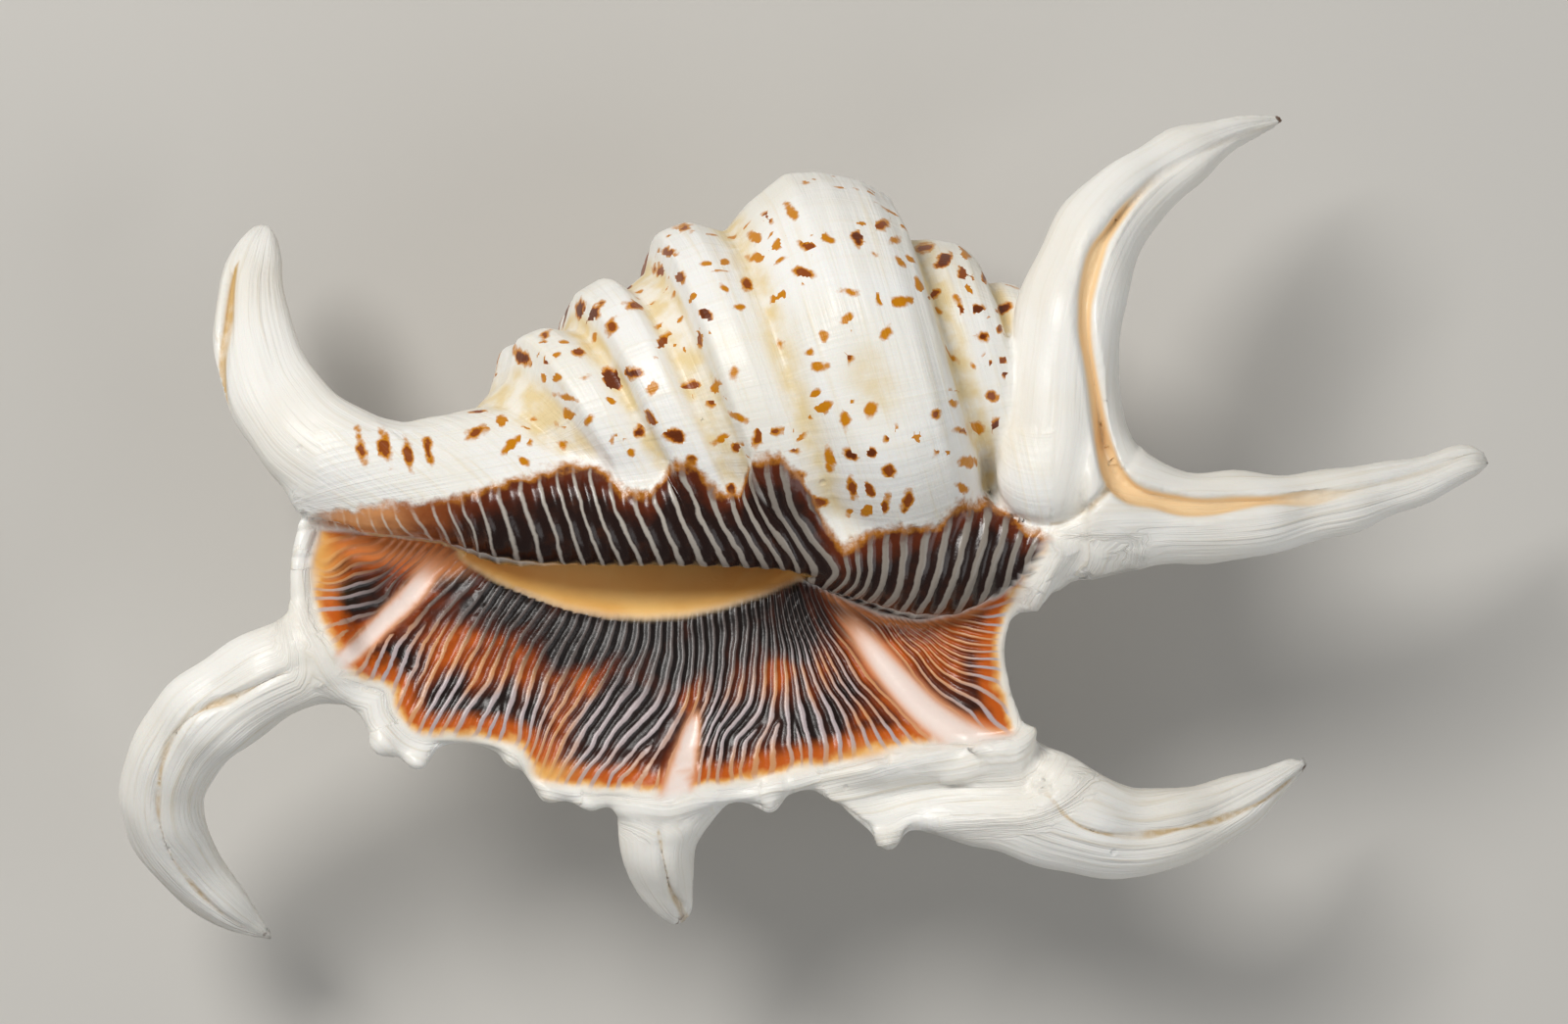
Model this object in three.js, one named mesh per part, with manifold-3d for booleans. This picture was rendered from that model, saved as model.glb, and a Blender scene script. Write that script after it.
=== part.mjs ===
// Spider conch shell lying on its back, aperture up. One piece, grown as one.
// Millimetres. +X runs from the siphonal canal towards the apex, +Y from the flared lip towards the whorls,
// +Z up out of the aperture. Three worn knobs of the back stand on Z = 0.
import * as THREE from "three";
import { mergeVertices } from "three/addons/utils/BufferGeometryUtils.js";
import Module from "manifold-3d";

const wasm = await Module();
wasm.setup();
const { smoothstep, lerp, degToRad } = THREE.MathUtils;

// The coiled whorls. Turn is the growth angle: 0 on the left side, 90 on the back, 180 at the lip.
const APEX = new THREE.Vector3(40, 22.5, 34.9); // tip of the spire
const AXIS_TILT = degToRad(10.8); // the coiling axis, turned in plan away from X
const AXIS_LENGTH = 100; // apex to the front end of the body whorl
const AXIS_RISE = 7; // how far the front end lifts towards the siphonal canal
const RISE_FROM = 0.55; // share of the axis where that lift begins
const WHORL_RATIO = 1.6; // how much each whorl outgrows the one before
const WHORLS = 5; // whorls that show on the spire
const LAST_TURN = Math.PI; // the body whorl ends at the lip
const APEX_RADIUS = 0.4;
const AROUND = 40; // facets round the whorls
const RINGS = 42; // rings of facets along the axis
const END_ROUNDING = 24; // a higher power closes the front end more bluntly

// The body whorl's outline where the turn is 0: distance from the apex along the axis, then radius.
const OUTLINE = [
  [0, 0],
  [12, 8],
  [20, 13.5],
  [23.5, 18.5],
  [25.5, 23.5],
  [29, 26.8],
  [35, 27.6],
  [41, 26.2],
  [47, 23.6],
  [53, 21.4],
  [59, 18.8],
  [65, 16.2],
  [71, 13.2],
  [77, 10.2],
  [84, 7.8],
  [92, 7],
  [98, 5],
  [101, 0],
];

// Spiral cords: place along the outline, height, half width, and the knobs on each in a whole turn.
const CORDS = [
  { at: 35.5, high: 2.6, half: 6.5, knobs: 7, phase: 0.3 },
  { at: 52.5, high: 3.8, half: 3.6, knobs: 8, phase: 0.9 },
  { at: 64, high: 4, half: 3.2, knobs: 9, phase: 0.2 },
  { at: 73.2, high: 3.6, half: 2.8, knobs: 9, phase: 1.4 },
  { at: 82, high: 1.2, half: 2.6, knobs: 9, phase: 0 },
];
const KNOB_SHARE = 0.18; // how far the knobs stand above and sink below their cord
const GLAZED_SHARE = 0.4; // height left to the cords where the callus covers them
const GLAZE_FROM = -2.2; // turn, in radians, where the callus ends
const GLAZE_TO = -0.3;

// The three big knobs of the back the shell stands on. Turn is in degrees.
const BACK_KNOBS = [
  { turn: 68, at: 35, high: 5.6, half: 6 },
  { turn: 118, at: 37, high: 6.4, half: 6.5 },
  { turn: 92, at: 58, high: 12.1, half: 7.5 },
];

// Fingers, canal and columella. Each row is [x, y, z, width], root first.
// Flat is height over width, seam the place across the width of the fold that runs along the finger.
const MEMBERS = {
  siphonCanal: {
    flat: 0.82,
    seam: 0.5,
    rows: [
      [-36, 5, 41, 10],
      [-46, 5.8, 43, 11.2],
      [-54.1, 7, 44, 12.5],
      [-62.3, 10.4, 43, 13.1],
      [-67.9, 16.3, 39, 11.9],
      [-71, 23.7, 34, 10.5],
      [-71.8, 30.1, 29, 8.8],
      [-71.3, 35.3, 25, 6.5],
      [-70.3, 39.3, 22, 3.2],
    ],
  },
  frontFinger: {
    flat: 0.85,
    seam: -0.1,
    rows: [
      [-38, -8, 34, 6],
      [-46, -11.5, 37, 8],
      [-53, -14.1, 40, 9.4],
      [-61.7, -16.6, 42, 11],
      [-70.2, -19.8, 42, 12],
      [-77.5, -25, 40, 12],
      [-82, -31.8, 36, 11.2],
      [-82.7, -38.3, 32, 10],
      [-79.6, -44.4, 28, 8.5],
      [-74.4, -50, 24, 5.8],
      [-69.1, -54, 21, 2.4],
    ],
  },
  shortFinger: {
    flat: 0.9,
    seam: 0.1,
    rows: [
      [-9, -15, 33, 6],
      [-11.5, -22, 36, 8.5],
      [-15, -29.1, 39, 10],
      [-17.2, -34.8, 40, 11.9],
      [-18.8, -40.5, 39, 9.8],
      [-18.2, -45.6, 36.5, 7.5],
      [-15.8, -51, 33.5, 4],
    ],
  },
  rearLowFinger: {
    flat: 0.85,
    seam: -0.1,
    rows: [
      [1, -15, 30, 6],
      [8.5, -28, 36, 11],
      [18.5, -33, 39.5, 13],
      [26.6, -34.6, 41, 14.2],
      [33.8, -37.2, 40.5, 13.8],
      [41.9, -39.2, 38, 11.4],
      [50.5, -37.9, 34, 9.2],
      [58.6, -34.1, 30, 6],
      [65, -30.2, 27, 2.4],
    ],
  },
  rearFinger: {
    flat: 0.85,
    seam: -0.2,
    rows: [
      [19, -5, 40, 11],
      [28.4, -2.8, 43.5, 12],
      [36.5, 0.6, 45.5, 13],
      [45.2, 1, 45, 12],
      [56.1, 1.4, 42.5, 10.8],
      [66.3, 3, 39, 8.8],
      [76.7, 5.3, 35, 7],
      [84.5, 8, 32, 4.8],
      [88.2, 8.4, 30, 2.6],
    ],
  },
  spireFinger: {
    flat: 0.95,
    seam: 0.4,
    rows: [
      [31.5, -1, 44.5, 7],
      [31, 4.7, 45.4, 13.2],
      [32.4, 12.1, 45.4, 14.4],
      [33, 20.8, 45.4, 14],
      [34.1, 28.3, 45, 13.2],
      [36.9, 35.9, 42.8, 12],
      [41.3, 42, 39.5, 10.2],
      [47.5, 47, 36, 7.8],
      [54.6, 50.7, 32.5, 5],
      [62.1, 52.8, 29, 2.8],
    ],
  },
  columella: {
    flat: 0.95,
    seam: 3,
    rows: [
      [-63, 4.2, 43, 5],
      [-55.3, 4.4, 43.5, 8],
      [-46.6, 4, 43.5, 10],
      [-37.9, 2.5, 42.5, 12.5],
      [-27.9, 2, 42, 14],
      [-15.3, 2, 43, 14.2],
      [-2.8, 1, 43.5, 14],
      [8, -2, 43.5, 14],
      [17, -3.6, 43.5, 14.5],
      [25, -0.6, 44, 11],
      [31, 2, 45, 6],
    ],
  },
};
const SIDES = 12; // facets round a finger
const STEPS = 17; // rings along it
const TIP_CROWDING = 1.25; // sets the rings closer towards the tip
const TIP_ROUNDING = 22;
const SEAM_DEPTH = 0.22; // share of the half height
const SEAM_WIDTH = 0.2; // share of the half width

// The flared lip in plan: its edge buried in the whorl, and its free margin, both from front to rear.
const LIP_INNER = [
  [-62, 3],
  [-46, 1],
  [-28, -1],
  [-8, -2],
  [10, -1],
  [22, 9],
  [33, 14],
];
const LIP_MARGIN = [
  [-65.6, 0],
  [-65.8, -8],
  [-64.5, -15],
  [-56.6, -25.4],
  [-54, -28.4],
  [-49.3, -30.2],
  [-46.2, -28.6],
  [-42.2, -28.3],
  [-37.2, -30.7],
  [-34.3, -34],
  [-27.8, -35.8],
  [-19, -36.3],
  [-10.3, -35.6],
  [-4.7, -36],
  [-1.3, -34.4],
  [2.2, -34.3],
  [5.3, -37],
  [10.3, -40.6],
  [14.7, -38],
  [20, -37],
  [28, -33],
  [28, -25.9],
  [26.2, -19.1],
  [26, -14.1],
  [28.2, -9],
  [33.5, -4],
  [36.5, 3],
];
const LIP_ROOT = [
  [0, 3],
  [0.12, 6],
  [0.3, 15],
  [0.42, 23],
  [0.55, 26],
  [0.68, 26],
  [0.8, 14],
  [0.9, 9],
  [1, 5],
]; // depth of the lip's back where it leaves the whorl, by the share of the way to the rear
const LIP_FILLET = 1.5; // a higher power hollows the back between whorl and margin
const LIP_EDGE = 3.2; // thickness at the free margin
const APERTURE_Z = 39.5; // height of the lip's inner face beside the aperture
const MARGIN_Z = 44; // and at the margin
const RISE_OUT = [0.2, 0.9]; // shares of its width between which the inner face climbs
const LIP_LENGTHWISE = 54;
const LIP_OUTWARD = 5;

// The body chamber winds from the aperture back into the whorl. From and to are turns in degrees.
const CHAMBER = { from: 198, to: 40, core: 9, middle: 59, frontHalf: 19, backHalf: 7, narrowing: 0.55 };
const CHAMBER_SIDES = 12;
const CHAMBER_STEPS = 14;
const CHAMBER_LEAST = 2; // least half height
const WALL = 4; // shell between the chamber and the back
const APERTURE = { x: -19, y: -8.1, halfLength: 20, halfWidth: 3.3, floor: 32, above: 70, sides: 20 };

const FLOOR = { size: 200, depth: 20 }; // what the standing knobs are worn flat against
const MERGE = 1e-4;

const growth = Math.log(WHORL_RATIO) / (2 * Math.PI);
const axisAlong = new THREE.Vector3(-Math.cos(AXIS_TILT), -Math.sin(AXIS_TILT), 0);
const axisLeft = new THREE.Vector3(-Math.sin(AXIS_TILT), Math.cos(AXIS_TILT), 0);
const axisUp = new THREE.Vector3(0, 0, 1);

const bump = (distance, half) => Math.exp(-((distance / half) ** 2));

// A smooth line through points of two or three numbers.
function through(points) {
  const lifted = points.map(([x, y, z = 0]) => new THREE.Vector3(x, y, z));
  return new THREE.CatmullRomCurve3(lifted, false, "centripetal");
}

// Reads y at x on a line of [x, y] points.
function readLine(points, x) {
  const next = points.findIndex((point) => x <= point[0]);
  if (next < 1) return points.at(next)[1];
  const [x0, y0] = points[next - 1];
  const [x1, y1] = points[next];
  return lerp(y0, y1, (x - x0) / (x1 - x0));
}

// Radius of one whorl about the axis, at a place along the outline and a turn.
function whorlRadius(place, turn, whorl) {
  const share = lerp(GLAZED_SHARE, 1, smoothstep(turn, GLAZE_FROM, GLAZE_TO));
  const wound = turn + 2 * Math.PI * whorl;
  let radius = readLine(OUTLINE, place);
  for (const cord of CORDS) {
    const knobs = 1 + KNOB_SHARE * Math.cos(cord.knobs * wound + cord.phase);
    radius += cord.high * share * knobs * bump(place - cord.at, cord.half);
  }
  return radius;
}

// Outer radius of the coiled shell at a distance from the apex and a turn.
function coilRadius(along, turn) {
  const grown = Math.exp(growth * turn);
  let outer = APEX_RADIUS;
  for (let whorl = 0; whorl < WHORLS; whorl += 1) {
    const size = grown / WHORL_RATIO ** whorl;
    outer = Math.max(outer, size * whorlRadius(along / size, turn, whorl));
  }
  for (const knob of BACK_KNOBS) {
    const away = (turn - degToRad(knob.turn)) * outer;
    outer += knob.high * bump(away, knob.half) * bump(along - knob.at * grown, knob.half);
  }
  return outer;
}

function fromAxis(along, radius, turn) {
  const rise = AXIS_RISE * smoothstep(along / AXIS_LENGTH, RISE_FROM, 1);
  return APEX.clone()
    .addScaledVector(axisAlong, along)
    .addScaledVector(axisLeft, radius * Math.cos(turn))
    .addScaledVector(axisUp, rise - radius * Math.sin(turn));
}

// Moves every vertex of a geometry by a function of its place.
function mapVertices(geometry, place) {
  const position = geometry.getAttribute("position");
  const vertex = new THREE.Vector3();
  for (let i = 0; i < position.count; i += 1) {
    const moved = place(vertex.fromBufferAttribute(position, i));
    position.setXYZ(i, moved.x, moved.y, moved.z);
  }
  return geometry;
}

function coil() {
  return mapVertices(new THREE.CylinderGeometry(1, 1, 1, AROUND, RINGS), (v) => {
    const share = v.y + 0.5;
    const along = AXIS_LENGTH * share;
    const turn = Math.min(LAST_TURN, Math.atan2(-v.z, v.x));
    const closing = Math.sqrt(1 - share ** END_ROUNDING) + MERGE;
    return fromAxis(along, Math.hypot(v.x, v.z) * closing * coilRadius(along, turn), turn);
  });
}

function member({ rows, flat, seam }) {
  const line = through(rows);
  const widths = through(rows.map((row, i) => [i, row[3]]));
  return mapVertices(new THREE.CylinderGeometry(1, 1, 1, SIDES, STEPS), (v) => {
    const t = 1 - (0.5 - v.y) ** TIP_CROWDING;
    const forward = line.getTangent(t);
    const across = new THREE.Vector3().crossVectors(forward, axisUp).normalize();
    const above = new THREE.Vector3().crossVectors(across, forward);
    const rounding = Math.sqrt(1 - t ** TIP_ROUNDING) + MERGE;
    const half = (widths.getPoint(t).y / 2) * rounding;
    const fold = v.z > 0 ? 1 - SEAM_DEPTH * bump(v.x - seam, SEAM_WIDTH) : 1;
    return line
      .getPoint(t)
      .addScaledVector(across, v.x * half)
      .addScaledVector(above, v.z * half * flat * fold);
  });
}

function lip() {
  const inner = through(LIP_INNER);
  const margin = through(LIP_MARGIN);
  return mapVertices(new THREE.BoxGeometry(1, 1, 1, LIP_LENGTHWISE, LIP_OUTWARD), (v) => {
    const s = v.x + 0.5;
    const t = 0.5 - v.y;
    const place = inner.getPoint(s).lerp(margin.getPoint(s), t);
    const face = lerp(APERTURE_Z, MARGIN_Z, smoothstep(t, ...RISE_OUT));
    const thick = LIP_EDGE + readLine(LIP_ROOT, s) * (1 - t) ** LIP_FILLET;
    return place.setZ(v.z > 0 ? face : face - thick);
  });
}

function chamber() {
  const middle = CHAMBER.middle / Math.exp(growth * LAST_TURN);
  return mapVertices(new THREE.CylinderGeometry(1, 1, 1, CHAMBER_SIDES, CHAMBER_STEPS), (v) => {
    const t = v.y + 0.5;
    const turn = degToRad(lerp(CHAMBER.from, CHAMBER.to, t));
    const grown = Math.exp(growth * turn);
    const half = lerp(CHAMBER.frontHalf, CHAMBER.backHalf, t) * Math.min(1, grown);
    const along = middle * grown + v.x * half;
    const outside = coilRadius(along, Math.min(turn, LAST_TURN)) - WALL;
    const room = Math.max(CHAMBER_LEAST, (outside - CHAMBER.core) / 2);
    const reach = room * lerp(1, CHAMBER.narrowing, t);
    return fromAxis(along, outside - reach + v.z * reach, turn);
  });
}

function aperture() {
  const height = APERTURE.above - APERTURE.floor;
  const slot = new THREE.CylinderGeometry(1, 1, height, APERTURE.sides, 1);
  slot.rotateX(Math.PI / 2);
  slot.scale(APERTURE.halfLength, APERTURE.halfWidth, 1);
  return slot.translate(APERTURE.x, APERTURE.y, APERTURE.floor + height / 2);
}

function floor() {
  const { size, depth } = FLOOR;
  return new THREE.BoxGeometry(size, size, depth).translate(0, 0, -depth / 2);
}

function solidOf(geometry) {
  geometry.deleteAttribute("normal");
  geometry.deleteAttribute("uv");
  const merged = mergeVertices(geometry, MERGE / 2);
  return new wasm.Manifold(
    new wasm.Mesh({
      numProp: 3,
      vertProperties: merged.getAttribute("position").array,
      triVerts: new Uint32Array(merged.index.array),
    }),
  );
}

function geometryOf(solid) {
  const { vertProperties, triVerts } = solid.getMesh();
  const geometry = new THREE.BufferGeometry();
  geometry.setAttribute("position", new THREE.BufferAttribute(vertProperties, 3));
  geometry.setIndex(new THREE.BufferAttribute(triVerts, 1));
  geometry.computeVertexNormals();
  return geometry;
}

let solid = solidOf(coil()).add(solidOf(lip()));
for (const shape of Object.values(MEMBERS)) solid = solid.add(solidOf(member(shape)));
for (const cut of [chamber(), aperture(), floor()]) solid = solid.subtract(solidOf(cut));

const shell = new THREE.Mesh(
  geometryOf(solid),
  new THREE.MeshStandardMaterial({ color: 0xf1eee6, roughness: 0.38, metalness: 0 }),
);
shell.name = "shell";

const part = new THREE.Group();
part.add(shell);
export default part;
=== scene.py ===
import math
import bpy
import numpy as np
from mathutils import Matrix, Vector


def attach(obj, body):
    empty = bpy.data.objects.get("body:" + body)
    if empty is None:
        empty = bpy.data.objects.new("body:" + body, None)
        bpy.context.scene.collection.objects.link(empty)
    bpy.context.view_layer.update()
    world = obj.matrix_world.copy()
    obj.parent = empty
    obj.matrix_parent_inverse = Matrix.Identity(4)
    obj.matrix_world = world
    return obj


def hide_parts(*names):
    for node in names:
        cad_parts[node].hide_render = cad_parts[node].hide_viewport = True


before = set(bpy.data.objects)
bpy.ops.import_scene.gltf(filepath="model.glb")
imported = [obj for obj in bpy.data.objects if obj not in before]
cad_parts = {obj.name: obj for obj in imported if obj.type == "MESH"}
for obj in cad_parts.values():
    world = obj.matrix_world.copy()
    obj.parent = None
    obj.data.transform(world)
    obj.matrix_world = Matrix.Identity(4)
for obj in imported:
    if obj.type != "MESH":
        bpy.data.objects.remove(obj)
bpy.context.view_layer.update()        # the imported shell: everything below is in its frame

tau = 2 * math.pi
millimetre = 0.001

shellMesh = {
    "cell": 0.8,      # grid the surface is wrapped on
    "low": (-92.0, -58.0, -2.0),
    "high": (92.0, 57.0, 64.0),
    "settlings": 3,      # steps that pull the mesh onto the true surface
    "refinedAbove": 37,      # the ribbed faces over this height get a finer mesh
    "offFingers": 1.5,
    "offMouth": 0.4,
    "barredPatch": ((-52.5, 9.8), (6, 3.4)),      # middle and half widths of the barred part of the canal
    "triangles": 196000,      # most triangles in the finished piece
    "piece": 400000,      # places measured at one time
}


# small tools for fields and lines

def fade(x, low, high):
    t = np.clip((x - low) / (high - low), 0, 1)
    return t * t * (3 - 2 * t)


def hump(x, half):
    return np.exp(-((x / half) ** 2))


def softMin(a, b, width):
    h = np.maximum(width - np.abs(a - b), 0) / width
    return np.minimum(a, b) - h * h * width / 4


def softMax(a, b, width):
    return -softMin(-a, -b, width)


def curveThrough(points, count):
    points = np.array(points, float)
    held = np.vstack([2 * points[0] - points[1], points, 2 * points[-1] - points[-2]])
    u = np.linspace(0, len(points) - 1, count)
    i = np.minimum(u.astype(int), len(points) - 2)
    t = (u - i)[:, None]
    a, b, c, d = held[i], held[i + 1], held[i + 2], held[i + 3]
    return b + 0.5 * t * (c - a + t * (2 * a - 5 * b + 4 * c - d + t * (3 * (b - c) + d - a)))


def smoothed(values, reach):
    width = np.arange(-3 * reach, 3 * reach + 1)
    weights = np.exp(-0.5 * (width / reach) ** 2)
    padded = np.pad(values, 3 * reach, mode="edge")
    return np.convolve(padded, weights / weights.sum(), mode="valid")


def readTable(table, u, v):
    u = np.clip(u, 0, table.shape[0] - 1.001)
    v = np.clip(v, 0, table.shape[1] - 1.001)
    i = u.astype(int)
    j = v.astype(int)
    f = u - i
    g = v - j
    near = table[i, j] * (1 - g) + table[i, j + 1] * g
    far = table[i + 1, j] * (1 - g) + table[i + 1, j + 1] * g
    return near * (1 - f) + far * f


def lineOf(points, x):
    points = np.array(points, float)
    return np.interp(x, points[:, 0], points[:, 1])


def distanceToLine(x, y, line):
    # distance from each place to a line of points, and how far along the line (0 to 1) the nearest one is
    best = np.full(x.shape, 1e9)
    share = np.zeros(x.shape)
    for i in range(len(line) - 1):
        ax, ay = line[i][:2]
        dx, dy = line[i + 1][0] - ax, line[i + 1][1] - ay
        t = np.clip(((x - ax) * dx + (y - ay) * dy) / max(dx * dx + dy * dy, 1e-9), 0, 1)
        away = np.hypot(x - ax - t * dx, y - ay - t * dy)
        closer = away < best
        best[closer] = away[closer]
        share[closer] = (i + t[closer]) / (len(line) - 1)
    return best, share


def insideOutline(x, y, outline):
    inside = np.zeros(x.shape, bool)
    for (ax, ay), (bx, by) in zip(outline, np.roll(outline, -1, axis=0)):
        if ay == by:
            continue
        crosses = (ay > y) != (by > y)
        inside ^= crosses & (x < (bx - ax) * (y - ay) / (by - ay) + ax)
    return inside


# the coiled whorls

whorls = {
    "apex": (40.0, 22.5, 34.9),
    "tiltDegrees": 10.8,      # the coiling axis, turned in plan away from X
    "length": 100.0,
    "rise": 7.0,      # lift of the front end towards the canal
    "riseFrom": 0.55,
    "ratio": 1.6,      # how much each turn outgrows the one before
    "turns": 6,
    "valleys": [      # distance from the apex along the axis, radius, between the cords
        (0, 0), (12, 8), (20, 13.5), (23.5, 18.2), (25.5, 23), (29, 26.4), (35, 27.2), (41, 26),
        (46.6, 24.3), (53, 21.6), (60.4, 19), (68.2, 15.2), (72, 13.5), (77, 10.4), (81, 8.2), (88, 7.8),
        (93.5, 7.2), (98, 5), (101, 0),
    ],
    "crests": [      # and over them, steep towards the front end
        (0, 0), (12, 8), (20, 13.5), (24, 18.5), (24.8, 24.5), (28, 27.7), (33.4, 29.8), (37.8, 30.2),
        (42.7, 27.9), (46.6, 24.6), (51.3, 26.5), (55.4, 25.8), (56.9, 21.2), (60.4, 19.5), (62.6, 21.4),
        (66.7, 20.3), (68.2, 15.7), (71.8, 16.7), (75.1, 16.1), (76.8, 11.2), (80.5, 8.2), (88.2, 8.3),
        (93.5, 7.4), (98, 5), (101, 0),
    ],
    "glazed": 0.72,      # share of the cords' height left on the side that lies up
    "glazeTurns": (-2.3, -0.3),
    "knobbed": [(35.5, 6, 7, 0.3), (52.5, 3.6, 8, 0.9), (64, 3.2, 9, 0.2), (73.2, 2.8, 9, 1.4)],
    "knobShare": 0.2,
    "standing": [      # the three worn knobs it lies on: turn in degrees, place, height, half width
        (68, 35, 5.6, 6), (118, 37, 6.4, 6.5), (92, 58, 12.1, 7.5),
    ],
}
growth = math.log(whorls["ratio"]) / tau
tilt = math.radians(whorls["tiltDegrees"])
apex = np.array(whorls["apex"])
axisAlong = np.array([-math.cos(tilt), -math.sin(tilt), 0])
axisLeft = np.array([-math.sin(tilt), math.cos(tilt), 0])
alongStep = 0.25
turnSteps = 361


def windWhorls():
    fine = np.arange(0, 110, alongStep)
    valley = smoothed(lineOf(whorls["valleys"], fine), 6)
    crest = smoothed(lineOf(whorls["crests"], fine), 1)
    along = np.arange(0, 104, alongStep)[:, None]
    turn = np.linspace(-math.pi, math.pi, turnSteps)[None, :]
    share = whorls["glazed"] + (1 - whorls["glazed"]) * fade(turn, *whorls["glazeTurns"])
    grown = np.exp(growth * turn)
    radius = np.full(along.shape[:1] + turn.shape[1:], 0.4)
    for n in range(whorls["turns"]):
        size = grown / whorls["ratio"] ** n
        place = along / size
        knobs = 1
        for at, half, count, phase in whorls["knobbed"]:
            wave = np.cos(count * (turn + tau * n) + phase) * fade(turn, -0.6, 0.6)
            knobs = knobs + whorls["knobShare"] * wave * hump(place - at, half)
        low = np.interp(place, fine, valley)
        high = np.interp(place, fine, crest)
        radius = np.maximum(radius, size * (low + share * (high - low) * knobs))
    for degrees, at, high, half in whorls["standing"]:
        away = (turn - math.radians(degrees)) * radius
        radius = radius + high * hump(away, half) * hump(along - at * grown, half)
    closing = np.sqrt(np.maximum(1 - (along / whorls["length"]) ** 24, 0))
    return radius * closing


def slopeOf(radius):
    along = np.clip(np.gradient(radius, alongStep, axis=0), -2.5, 2.5)
    turn = np.gradient(radius, tau / (turnSteps - 1), axis=1) / np.maximum(radius, 4)
    return np.sqrt(1 + along ** 2 + np.clip(turn, -1.5, 1.5) ** 2)


whorlRadius = windWhorls()
whorlStretch = slopeOf(whorlRadius)
whorlWide = np.stack([smoothed(row, 14) for row in whorlRadius.T], axis=1)      # with the cords evened out


def whorlPlace(p):
    # distance along the axis from the apex, radius about it, and turn: 0 left, 90 on the back
    away = p - apex
    along = away @ axisAlong
    left = away @ axisLeft
    lift = whorls["rise"] * fade(along / whorls["length"], whorls["riseFrom"], 1)
    up = lift - away[:, 2]
    return along, np.hypot(left, up), np.arctan2(up, left)


def readWhorl(table, along, turn):
    return readTable(table, along / alongStep, (turn + math.pi) / tau * (turnSteps - 1))


def whorlDistance(along, radius, turn):
    outside = (radius - readWhorl(whorlRadius, along, turn)) / readWhorl(whorlStretch, along, turn)
    outside = np.maximum(outside, np.maximum(-along, along - 101))
    # the shelf where the body whorl ends under the lip
    above = radius * np.sin(-turn)
    beside = -radius * np.cos(turn) - readWhorl(whorlRadius, along, np.full(along.shape, math.pi))
    shelf = np.maximum(np.maximum(above, beside), np.maximum(-along, along - 99))
    return np.where((turn < 0) & (turn < -math.pi / 2), np.minimum(outside, shelf), outside)


# the chamber inside, and the slot that opens it

chamber = {
    "from": 198,      # the turn it starts at and ends at, in degrees
    "to": 40,
    "core": 9,
    "middle": 59,
    "frontHalf": 19,
    "backHalf": 7,
    "narrowing": 0.55,
    "wall": 4,
    "top": 29.0,      # it stays this low, under the lip's face
}
mouth = {
    "middle": -21.5,
    "half": 22.5,
    "upper": [(-46, -3.2), (-43, -3.4), (-40, -4.4), (-35, -5), (-15, -5.1), (-3, -5.4), (1, -6.2), (4, -7)],
    "lower": [
        (-46, -2.6), (-43.5, -4.4), (-40, -6.4), (-34.7, -8.7), (-30.3, -10.2), (-25.3, -11.2),
        (-20.3, -11.5), (-15.3, -11.2), (-10.3, -10.2), (-5.3, -8.6), (-1.5, -7), (0.6, -5.8), (4, -4),
    ],
    "top": 39.5,
    "slope": 0.95,      # how far the slot leans under the callus for each millimetre down
    "floor": 25.0,
}


def chamberDistance(along, radius, turn):
    first = chamber["from"]
    last = chamber["to"]
    wound = np.where(turn < math.radians(first - 360) + 0.3, turn + tau, turn)
    t = np.clip((math.radians(first) - wound) / math.radians(first - last), 0, 1)
    past = np.abs(wound - math.radians((first + last) / 2)) - math.radians((first - last) / 2)
    past = np.maximum(past, 0) * radius
    grown = np.exp(growth * wound)
    half = (chamber["frontHalf"] + (chamber["backHalf"] - chamber["frontHalf"]) * t) * np.minimum(1, grown)
    middle = chamber["middle"] / math.exp(growth * math.pi)
    outside = readWhorl(whorlRadius, along, np.minimum(wound, math.pi)) - chamber["wall"]
    room = np.maximum(2, (outside - chamber["core"]) / 2)
    reach = room * (1 + (chamber["narrowing"] - 1) * t)
    across = (along - middle * grown) / half
    around = (radius - outside + reach) / reach
    return (np.sqrt(across ** 2 + around ** 2 + (past / reach) ** 2) - 1) * reach * 0.8


def mouthDistance(p):
    x = p[:, 0]
    depth = mouth["top"] - p[:, 2]
    y = p[:, 1] - mouth["slope"] * np.maximum(depth, 0)
    lean = math.hypot(1, mouth["slope"])
    walls = np.maximum(lineOf(mouth["lower"], x) - y, y - lineOf(mouth["upper"], x))
    walls = np.where(depth > 0, walls / lean, walls)
    ends = (np.abs(x - mouth["middle"]) - mouth["half"]) * 0.7
    return np.maximum(np.maximum(walls, ends), mouth["floor"] - p[:, 2])


# the flared lip, as heights over the plan

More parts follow.
